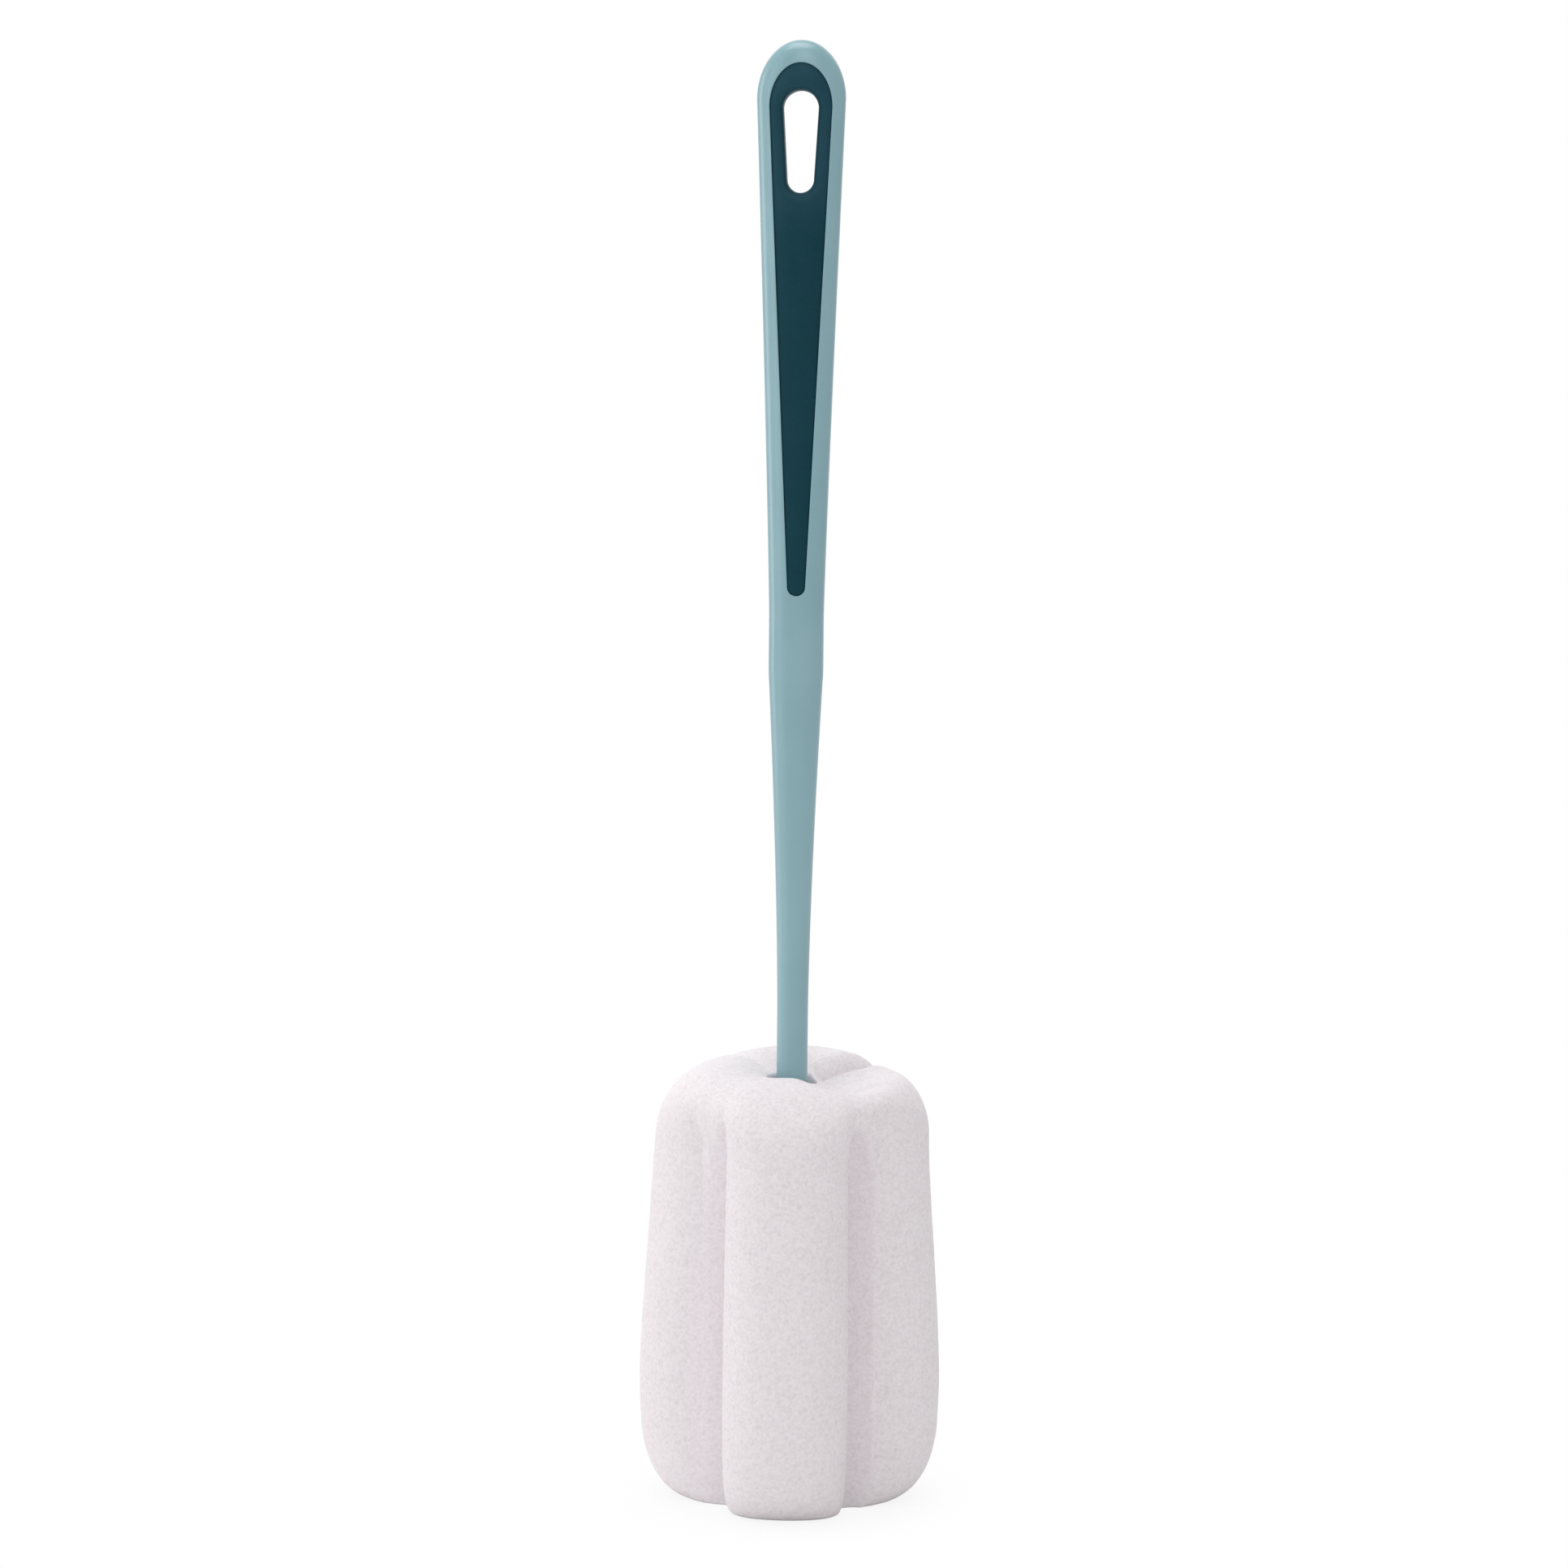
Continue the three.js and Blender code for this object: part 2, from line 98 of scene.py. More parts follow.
class Formula:
    """A number in a node tree, worked out with ordinary operators."""

    def __init__(self, tree: bpy.types.NodeTree, socket: bpy.types.NodeSocket) -> None:
        """Keeps the tree and the socket that carries the number."""
        self.tree = tree
        self.socket = socket

    def _into(self, node: bpy.types.Node, *others: "Formula | float") -> "Formula":
        """Puts this number and others into a node's first inputs.

        Args:
            node: The node.
            others: What follows this number in it.

        Returns:
            The node's result.
        """
        for place, value in enumerate((self, *others)):
            if isinstance(value, Formula):
                self.tree.links.new(value.socket, node.inputs[place])
            else:
                node.inputs[place].default_value = value
        return Formula(self.tree, node.outputs[0])

    def math(self, operation: str, *others: "Formula | float") -> "Formula":
        """Adds one Math node.

        Args:
            operation: The node's operation.
            others: What follows this number in it.

        Returns:
            The result.
        """
        node = self.tree.nodes.new("ShaderNodeMath")
        node.operation = operation
        return self._into(node, *others)

    def __add__(self, other: "Formula | float") -> "Formula":
        """This plus the other."""
        return self.math("ADD", other)

    def __sub__(self, other: "Formula | float") -> "Formula":
        """This minus the other."""
        return self.math("SUBTRACT", other)

    def __mul__(self, other: "Formula | float") -> "Formula":
        """This times the other."""
        return self.math("MULTIPLY", other)

    def __truediv__(self, other: "Formula | float") -> "Formula":
        """This over the other."""
        return self.math("DIVIDE", other)

    def __pow__(self, other: "Formula | float") -> "Formula":
        """This to the other's power."""
        return self.math("POWER", other)

    def unsigned(self) -> "Formula":
        """This without its sign."""
        return self.math("ABSOLUTE")

    def root(self) -> "Formula":
        """This number's square root."""
        return self.math("SQRT")

    def above_zero(self) -> "Formula":
        """This, or 0 where it is less."""
        return self.math("MAXIMUM", 0.0)

    def less_from(self, whole: "Formula | float") -> "Formula":
        """A whole less this number."""
        return (self * -1.0) + whole

    def clamped(self) -> "Formula":
        """This held between 0 and 1."""
        return self.math("MINIMUM", 1.0).above_zero()

    def eased(self, a: "Formula | float", b: "Formula | float") -> "Formula":
        """Smooth share from 0 at a to 1 at b.

        Args:
            a: Where the share leaves 0.
            b: Where it reaches 1.

        Returns:
            The share.
        """
        node = self.tree.nodes.new("ShaderNodeMapRange")
        node.interpolation_type = "SMOOTHSTEP"
        return self._into(node, a, b)


class Recipe:
    """A node tree under construction, with short words for what it needs often."""

    def __init__(self, tree: bpy.types.NodeTree) -> None:
        """Keeps the tree."""
        self.tree = tree

    def node(self, kind: str, **settings: object) -> bpy.types.Node:
        """Adds a node and sets its own settings.

        Args:
            kind: The node's type.
            settings: Its properties by name.

        Returns:
            The node.
        """
        made = self.tree.nodes.new(kind)
        for name, value in settings.items():
            setattr(made, name, value)
        return made

    def link(self, source: bpy.types.NodeSocket, target: bpy.types.NodeSocket) -> None:
        """Joins two sockets."""
        self.tree.links.new(source, target)

    def formula(self, socket: bpy.types.NodeSocket) -> Formula:
        """A socket's number, to reckon with."""
        return Formula(self.tree, socket)

    def parts(self, vector: bpy.types.NodeSocket) -> tuple[Formula, Formula, Formula]:
        """Takes a vector apart.

        Args:
            vector: The vector's socket.

        Returns:
            Its three numbers.
        """
        apart = self.node("ShaderNodeSeparateXYZ")
        self.link(vector, apart.inputs[0])
        x, y, z = (self.formula(socket) for socket in apart.outputs)
        return x, y, z

    def upright(self, height: Formula) -> bpy.types.NodeSocket:
        """A vector along Z.

        Args:
            height: Its length.

        Returns:
            The vector's socket.
        """
        made = self.node("ShaderNodeCombineXYZ")
        self.link(height.socket, made.inputs["Z"])
        return made.outputs[0]

    def noise(self, place: bpy.types.NodeSocket, pitch: float, detail: float) -> Formula:
        """Smooth noise.

        Args:
            place: The vector that it is read at.
            pitch: Size of its blotches.
            detail: Octaves of finer noise on it.

        Returns:
            The noise, about 0.5.
        """
        made = self.node("ShaderNodeTexNoise")
        self.link(place, made.inputs["Vector"])
        made.inputs["Scale"].default_value = 1.0 / pitch
        made.inputs["Detail"].default_value = detail
        return self.formula(made.outputs[0])

    def cells(self, place: bpy.types.NodeSocket, pitch: float) -> tuple[Formula, Formula]:
        """Scattered cells.

        Args:
            place: The vector that they are read at.
            pitch: Distance between cells.

        Returns:
            The distance from the nearest cell's middle in pitches, and a chance number for each cell.
        """
        made = self.node("ShaderNodeTexVoronoi")
        self.link(place, made.inputs["Vector"])
        made.inputs["Scale"].default_value = 1.0 / pitch
        chance = self.parts(made.outputs["Color"])[0]
        return self.formula(made.outputs["Distance"]), chance

    def blend(self, share: Formula, a: Colour, b: Colour) -> bpy.types.NodeSocket:
        """Mixes two colours.

        Args:
            share: How much of the second.
            a: The first colour.
            b: The second colour.

        Returns:
            The colour's socket.
        """
        made = self.node("ShaderNodeMix", data_type="RGBA")
        self.link(share.socket, made.inputs[0])
        made.inputs[6].default_value = (*a, 1.0)
        made.inputs[7].default_value = (*b, 1.0)
        return made.outputs[2]


class Surface(Recipe):
    """A material under construction."""

    def __init__(self, name: str) -> None:
        """Starts a material with a plain shader and Object coordinates.

        Args:
            name: The material's name.
        """
        self.material = bpy.data.materials.new(name)
        self.material.use_nodes = True
        super().__init__(self.material.node_tree)
        self.shader = self.tree.nodes["Principled BSDF"]
        self.place = self.node("ShaderNodeTexCoord").outputs["Object"]

    def fix(self, name: str, value: float | Sequence[float]) -> None:
        """Sets one of the shader's inputs to what it is all over the surface."""
        self.shader.inputs[name].default_value = value

    def vary(self, name: str, source: bpy.types.NodeSocket) -> None:
        """Lets one of the shader's inputs change over the surface."""
        self.link(source, self.shader.inputs[name])

    def bump(self, height: Formula, depth: float, strength: float = 1.0) -> None:
        """Roughens the shader's normal.

        Args:
            height: The relief, from 0 to 1.
            depth: What 1 is in metres.
            strength: How much of it shows.
        """
        made = self.node("ShaderNodeBump")
        made.inputs["Strength"].default_value = strength
        made.inputs["Distance"].default_value = depth
        self.link(height.socket, made.inputs["Height"])
        self.vary("Normal", made.outputs[0])


@dataclass(frozen=True)
class MouldedSkin:
    """A moulded surface: two close colours in blotches, uneven gloss and a fine eroded grain."""

    name: str
    colour: Colour
    pale: Colour
    roughness: float
    shine: float
    grain_pitch: float
    grain_depth: float
    grain_detail: float
    grain_share: float
    grain_gloss: float
    blotch_pitch: float
    blotch_gloss: float
    blotch_detail: float = 3.0
    mix_from: float = 0.3
    mix_to: float = 0.7

    def share(self, surface: Surface, blotch: Formula, grain: Formula) -> Formula:
        """How much of the pale colour shows.

        Args:
            surface: The material under construction; not used here.
            blotch: The wide noise.
            grain: The fine noise.

        Returns:
            The share.
        """
        mixed = blotch * (1.0 - self.grain_share) + grain * self.grain_share
        return mixed.eased(self.mix_from, self.mix_to)

    def make(self) -> bpy.types.Material:
        """Builds the finish.

        Returns:
            The material.
        """
        surface = Surface(self.name)
        blotch = surface.noise(surface.place, self.blotch_pitch, self.blotch_detail)
        grain = surface.noise(surface.place, self.grain_pitch, self.grain_detail)
        share = self.share(surface, blotch, grain)
        surface.vary("Base Color", surface.blend(share, self.colour, self.pale))
        gloss = (blotch - 0.5) * self.blotch_gloss + (grain - 0.5) * self.grain_gloss + self.roughness
        surface.vary("Roughness", gloss.socket)
        surface.fix("Specular IOR Level", self.shine)
        surface.bump(grain, self.grain_depth)
        return surface.material


@dataclass(frozen=True)
class SatinPlastic(MouldedSkin):
    """Light teal polypropylene with a fine eroded grain."""

    name: str = "satin_teal_plastic"
    colour: Colour = (0.238, 0.430, 0.484)
    pale: Colour = (0.270, 0.468, 0.520)
    roughness: float = 0.35
    shine: float = 1.0
    grain_pitch: float = 0.22 * MM
    grain_depth: float = 0.006 * MM
    grain_detail: float = 3.0
    grain_share: float = 0.25
    grain_gloss: float = 0.12
    blotch_pitch: float = 14.0 * MM
    blotch_gloss: float = 0.10


@dataclass(frozen=True)
class SoftRubber(MouldedSkin):
    """Dark teal elastomer, matt, with a leathery grain, and a painted sheen that makes it paler towards the
    top, round the hole.
    """

    name: str = "dark_teal_rubber"
    colour: Colour = (0.0026, 0.045, 0.0625)
    pale: Colour = (0.0160, 0.069, 0.097)
    roughness: float = 0.45
    shine: float = 0.12
    grain_pitch: float = 0.30 * MM
    grain_depth: float = 0.010 * MM
    grain_detail: float = 4.0
    grain_share: float = 0.4
    grain_gloss: float = 0.16
    blotch_pitch: float = 9.0 * MM
    blotch_gloss: float = 0.12
    # Where the painted sheen starts and where it reaches its full share, and how strong it is.
    painted_sheen_foot: float = 248.0 * MM
    painted_sheen_top: float = 266.0 * MM
    painted_sheen_share: float = 0.65

    def share(self, surface: Surface, blotch: Formula, grain: Formula) -> Formula:
        """How much of the pale colour shows, more of it towards the top, where a sheen is painted.

        Args:
            surface: The material under construction.
            blotch: The wide noise.
            grain: The fine noise.

        Returns:
            The share.
        """
        # Painted sheen: the pale colour is laid on more towards the top of the inlay.
        painted_sheen = surface.parts(surface.place)[2].eased(self.painted_sheen_foot, self.painted_sheen_top)
        mottled = super().share(surface, blotch, grain)
        return mottled * (1.0 - self.painted_sheen_share) + painted_sheen * self.painted_sheen_share


@dataclass(frozen=True)
class OpenFoam:
    """Off-white open-cell foam: pale walls round small shaded pores."""

    name: str = "white_open_foam"
    wall: Colour = (0.935, 0.885, 0.91)
    pore: Colour = (0.78, 0.72, 0.745)
    shaded: float = 0.17
    pit_shade: float = 0.34
    grain_shade: float = 1.55
    grain_pitch: float = 0.62 * MM
    grain_detail: float = 2.0
    grain_depth: float = 0.10 * MM
    grain_strength: float = 0.6
    blotch_shade: float = 0.20
    blotch_pitch: float = 6.0 * MM
    blotch_detail: float = 3.0
    roughness: float = 0.95
    shine: float = 0.12
    glow: float = 0.15
    glow_depth: float = 3.0 * MM
    glow_spread: Colour = (1.0, 0.85, 0.85)
    pore_attribute: str = "pore"

    def make(self) -> bpy.types.Material:
        """Builds the finish.

        Returns:
            The material.
        """
        surface = Surface(self.name)
        pits = surface.node("ShaderNodeAttribute", attribute_name=self.pore_attribute)
        grain = surface.noise(surface.place, self.grain_pitch, self.grain_detail)
        blotch = surface.noise(surface.place, self.blotch_pitch, self.blotch_detail)
        share = surface.formula(pits.outputs["Fac"]) * self.pit_shade + (grain - 0.5) * self.grain_shade
        share = (share + (blotch - 0.5) * self.blotch_shade + self.shaded).clamped()
        surface.vary("Base Color", surface.blend(share, self.wall, self.pore))
        surface.fix("Subsurface Weight", self.glow)
        surface.fix("Subsurface Radius", self.glow_spread)
        surface.fix("Subsurface Scale", self.glow_depth)
        surface.fix("Roughness", self.roughness)
        surface.fix("Specular IOR Level", self.shine)
        surface.bump(grain, self.grain_depth, self.grain_strength)
        return surface.material


@dataclass(frozen=True)
class SlotOutline:
    """A tapered outline with round ends, standing in the XZ plane about X = 0."""

    top: float
    half_width: float
    top_rise: float
    foot: float
    foot_radius: float

    @property
    def top_centre(self) -> float:
        """Height where the upper round begins."""
        return self.top - self.top_rise

    @property
    def foot_centre(self) -> float:
        """Height where the lower round begins."""
        return self.foot + self.foot_radius

    def grown(self, margin: float) -> "SlotOutline":
        """The outline moved outwards all round.

        Args:
            margin: How far it is moved.

        Returns:
            The new outline.
        """
        return SlotOutline(
            self.top + margin,
            self.half_width + margin,
            self.top_rise + margin,
            self.foot - margin,
            self.foot_radius + margin,
        )

    def half_width_at(self, z: float) -> float:
        """Half width at a height, 0 above and below the outline.

        Args:
            z: The height.

        Returns:
            The half width.
        """
        if z > self.top_centre:
            rise = min((z - self.top_centre) / self.top_rise, 1.0)
            return self.half_width * math.sqrt(1.0 - rise * rise)
        if z < self.foot_centre:
            drop = min(self.foot_centre - z, self.foot_radius)
            return math.sqrt(self.foot_radius**2 - drop * drop)
        share = (z - self.foot_centre) / (self.top_centre - self.foot_centre)
        return lerp(self.foot_radius, self.half_width, share)

    def distance(self, x: float, z: float) -> float:
        """How far a point lies outside the outline.

        Args:
            x: Across.
            z: Up.

        Returns:
            The distance, negative inside.
        """
        if z > self.top_centre:
            rise = z - self.top_centre
            if abs(self.half_width - self.top_rise) < TINY:
                return math.hypot(x, rise) - self.half_width
            reach = math.hypot(x / self.half_width, rise / self.top_rise)
            slope = x * x / self.half_width**3 + rise * rise / self.top_rise**3
            return (reach - 1.0) * reach / max(slope, TINY)
        if z < self.foot_centre:
            return math.hypot(x, self.foot_centre - z) - self.foot_radius
        lean = (self.half_width - self.foot_radius) / (self.top_centre - self.foot_centre)
        return (abs(x) - self.half_width_at(z)) / math.hypot(1.0, lean)

    def end_levels(self, steps: int) -> list[float]:
        """Heights at even angles round both ends.

        Args:
            steps: Steps in each quarter turn.

        Returns:
            The heights.
        """
        turns = [math.sin(0.5 * math.pi * step / steps) for step in range(steps + 1)]
        above = [self.top_centre + self.top_rise * turn for turn in turns]
        below = [self.foot_centre - self.foot_radius * turn for turn in turns]
        return above + below


@dataclass
class GripForm:
    """The handle's smooth form: a round stem that widens to a flattened paddle."""

    top: float = 290.0 * MM
    widest: float = 278.6 * MM
    neck_top: float = 177.6 * MM
    neck_foot: float = 166.5 * MM
    stem_top: float = 97.7 * MM
    stem_foot: float = 80.0 * MM
    grip_half_width: float = 8.7 * MM
    grip_half_thick: float = 4.35 * MM
    neck_half_width: float = 5.43 * MM
    neck_half_thick: float = 4.15 * MM
    stem_radius: float = 3.08 * MM
    grip_flare: float = 1.15
    neck_flare: float = 1.55
    squareness_grip: float = 2.15
    squareness_stem: float = 2.0
    end_bluntness: float = 6.0

    def end_share(self, z: float) -> float:
        """How far up the round end a height is, 0 below it."""
        return clamp((z - self.widest) / (self.top - self.widest))

    def half_width(self, z: float) -> float:
        """Half width at a height.

        Args:
            z: The height.

        Returns:
            The half width.
        """
        if z < self.neck_foot:
            rise = clamp((z - self.stem_top) / (self.neck_foot - self.stem_top))
            return lerp(self.stem_radius, self.neck_half_width, rise**self.neck_flare)
        share = clamp((z - self.neck_top) / (self.widest - self.neck_top))
        body = lerp(self.neck_half_width, self.grip_half_width, share**self.grip_flare)
        return body * math.sqrt(1.0 - self.end_share(z) ** 2)

    def half_thick(self, z: float) -> float:
        """Half thickness on the middle line at a height.

        Args:
            z: The height.

        Returns:
            The half thickness.
        """
        neck = lerp(self.stem_radius, self.neck_half_thick, ease(z, self.stem_top, self.neck_top))
        body = lerp(neck, self.grip_half_thick, ease(z, self.neck_top, self.widest))
        return body * math.sqrt(1.0 - self.end_share(z) ** self.end_bluntness)

    def squareness(self, z: float) -> float:
        """Power of the section: 2 is an ellipse, more is squarer."""
        return lerp(self.squareness_stem, self.squareness_grip, ease(z, self.stem_top, self.neck_top))

    def surface(self, x: float, z: float, extra: float = 0.0) -> float:
        """Half thickness at a place.

        Args:
            x: Across.
            z: Up.
            extra: Thickness added on the middle line.

        Returns:
            The half thickness there.
        """
        power = self.squareness(z)
        across = clamp(abs(x) / max(self.half_width(z), TINY))
        return max(self.half_thick(z) + extra, 0.0) * (1.0 - across**power) ** (1.0 / power)

    def side(self, z: float, start: float, share: float) -> Point:
        """A point on the way round the side of the section.

        Args:
            z: Up.
            start: Where across the way starts.
            share: How far along it the point is.

        Returns:
            Across and half thickness.
        """
        power = self.squareness(z)
        width = max(self.half_width(z), TINY)
        first = math.acos(clamp(start / width) ** (0.5 * power))
        turn = first * (1.0 - share)
        across = width * math.cos(turn) ** (2.0 / power)
        return across, self.half_thick(z) * math.sin(turn) ** (2.0 / power)


def mesh_object(name: str, vertices: Sequence, faces: Sequence) -> bpy.types.Object:
    """A closed object from points and faces, its doubles merged and its faces outwards.

    Args:
        name: The object's name.
        vertices: Its points.
        faces: Its faces as point numbers.

    Returns:
        The object, linked to the scene.
    """
    mesh = bpy.data.meshes.new(name)
    mesh.from_pydata(vertices, [], faces)
    work = bmesh.new()
    work.from_mesh(mesh)
    bmesh.ops.remove_doubles(work, verts=work.verts, dist=MERGE_GAP)
    bmesh.ops.dissolve_degenerate(work, edges=work.edges, dist=SLIVER)
    loose = [vertex for vertex in work.verts if not vertex.link_faces]
    bmesh.ops.delete(work, geom=loose, context="VERTS")
    bmesh.ops.holes_fill(work, edges=work.edges, sides=0)
    bmesh.ops.recalc_face_normals(work, faces=work.faces)
    work.to_mesh(mesh)
    work.free()
    made = bpy.data.objects.new(name, mesh)
    bpy.context.scene.collection.objects.link(made)
    return made


def turned_object(
    name: str, angles: list[float], rings: list[Point], first: float, last: float | None = None
) -> bpy.types.Object:
    """A closed shape of rings about Z, with a point on the axis at its ends.

    Args:
        name: The object's name.
        angles: Where the points of each ring lie round the axis.
        rings: Reach and height of each ring, in order.
        first: Height of the point before the first ring.
        last: Height of the point after the last ring, which is filled flat without one.

    Returns:
        The object, linked to the scene.
    """
    turns = len(angles)
    vertices = [(0.0, 0.0, first)]
    for reach, z in rings:
        vertices += [(reach * math.cos(angle), reach * math.sin(angle), z) for angle in angles]
    if last is not None:
        vertices.append((0.0, 0.0, last))
    end = 1 + (len(rings) - 1) * turns
    faces: list[tuple[int, ...]] = []
    for turn in range(turns):
        after = (turn + 1) % turns
        faces.append((0, 1 + after, 1 + turn))
        if last is not None:
            faces.append((len(vertices) - 1, end + turn, end + after))
        for low in range(1, end, turns):
            faces.append((low + turn, low + after, low + turns + after, low + turns + turn))
    return mesh_object(name, vertices, faces)


def smooth(made: bpy.types.Object) -> None:
    """Shades an object smoothly, but for its sharp edges."""
    made.data.shade_smooth()
    made.data.set_sharp_from_angle(angle=math.radians(SHARP_DEGREES))


def even_levels(*lists: Iterable[float]) -> list[float]:
    """Heights in order, those that all but meet taken once.

    Args:
        lists: The heights.

    Returns:
        One list of heights.
    """
    kept: list[float] = []
    for level in sorted(value for values in lists for value in values):
        if not kept or level - kept[-1] > ROW_GAP:
            kept.append(level)
    return kept


class RowSkin:
    """A closed skin of level rows. A quarter is worked out and mirrored to both sides and faces."""

    def __init__(self, name: str, levels: list[float], quarter: Callable[[float], list[Point]]) -> None:
        """Works out every row.

        Args:
            name: The object's name.
            levels: The rows' heights.
            quarter: Across and thickness of a row's points, from the middle outwards.
        """
        self.name = name
        self.levels = levels
        self.rows = [quarter(level) for level in levels]
        self.width = len(self.rows[0])
        self.faces: list[tuple[int, ...]] = []

    def number(self, side: int, row: int, column: int) -> int:
        """The number of a point in the list of all points."""
        return (side * len(self.rows) + row) * self.width + column

    def strip(self, row: int, first: tuple[int, int], second: tuple[int, int]) -> None:
        """Adds the face between two columns and two rows, unless it is shut on the middle plane.

        Args:
            row: The lower row.
            first: Side and column of one column.
            second: Side and column of the other.
        """
        corners = [(row, first), (row, second), (row + 1, second), (row + 1, first)]
        if max(self.rows[level][place[1]][0] for level, place in corners) > TINY:
            self.faces.append(tuple(self.number(place[0], level, place[1]) for level, place in corners))

    def build(self) -> bpy.types.Object:
        """Joins the rows.

        Returns:
            The skin as an object.
        """
        vertices = [
            (x * across, y * through, z)
            for across, through in ((1, -1), (-1, -1), (1, 1), (-1, 1))
            for z, row in zip(self.levels, self.rows)
            for x, y in row
        ]
        last = self.width - 1
        for row in range(len(self.rows) - 1):
            for side in range(4):
                for column in range(last):
                    self.strip(row, (side, column), (side, column + 1))
            for side in range(2):
                self.strip(row, (side, 0), (side + 2, 0))
                if max(self.rows[row][last][1], self.rows[row + 1][last][1]) > TINY:
                    self.strip(row, (side, last), (side + 2, last))
        return mesh_object(self.name, vertices, self.faces)


class Garden:
    """A Geometry Nodes tree with named inputs, grown on an object and then made plain mesh."""

    def __init__(self, name: str) -> None:
        """Starts a tree with one mesh in and one out.

        Args:
            name: The tree's name.
        """
        self.tree = bpy.data.node_groups.new(name, "GeometryNodeTree")
        for way in ("INPUT", "OUTPUT"):
            self.tree.interface.new_socket("Geometry", in_out=way, socket_type="NodeSocketGeometry")
        self.recipe = Recipe(self.tree)
        self.entry = self.recipe.node("NodeGroupInput")
        self.values: dict[str, object] = {}

    def input(self, name: str, kind: str, value: object) -> bpy.types.NodeSocket:
        """Adds a named input.

        Args:
            name: The input's name.
            kind: Its socket's type, without the common first part.
            value: What the modifier sets it to.

        Returns:
            The socket inside the tree.
        """
        item = self.tree.interface.new_socket(name, in_out="INPUT", socket_type="NodeSocket" + kind)
        self.values[item.identifier] = value
        return self.entry.outputs[name]

    def size(self, name: str, value: float) -> Formula:
        """Adds a named length or number, to reckon with."""
        return self.recipe.formula(self.input(name, "Float", value))

    def finish(self, geometry: bpy.types.NodeSocket, material: bpy.types.Material) -> None:
        """Ends the tree in plain mesh with its material.

        Args:
            geometry: What the tree has made.
            material: The finish that it gets.
        """
        plain = self.recipe.node("GeometryNodeRealizeInstances")
        dressed = self.recipe.node("GeometryNodeSetMaterial")
        leave = self.recipe.node("NodeGroupOutput")
        self.recipe.link(geometry, plain.inputs[0])
        self.recipe.link(plain.outputs[0], dressed.inputs[0])
        self.recipe.link(self.input("Material", "Material", material), dressed.inputs["Material"])
        self.recipe.link(dressed.outputs[0], leave.inputs[0])

    def grow(self, made: bpy.types.Object) -> None:
        """Runs the tree on an object and keeps the result as its mesh.

        Args:
            made: The object.
        """
        modifier = made.modifiers.new(self.tree.name, "NODES")
        modifier.node_group = self.tree
        for identifier, value in self.values.items():
            modifier[identifier] = value
        graph = bpy.context.evaluated_depsgraph_get()
        grown = made.evaluated_get(graph)
        mesh = bpy.data.meshes.new_from_object(grown, preserve_all_data_layers=True, depsgraph=graph)
        made.modifiers.clear()
        old = made.data
        made.data = mesh
        bpy.data.meshes.remove(old)
        mesh.name = made.name


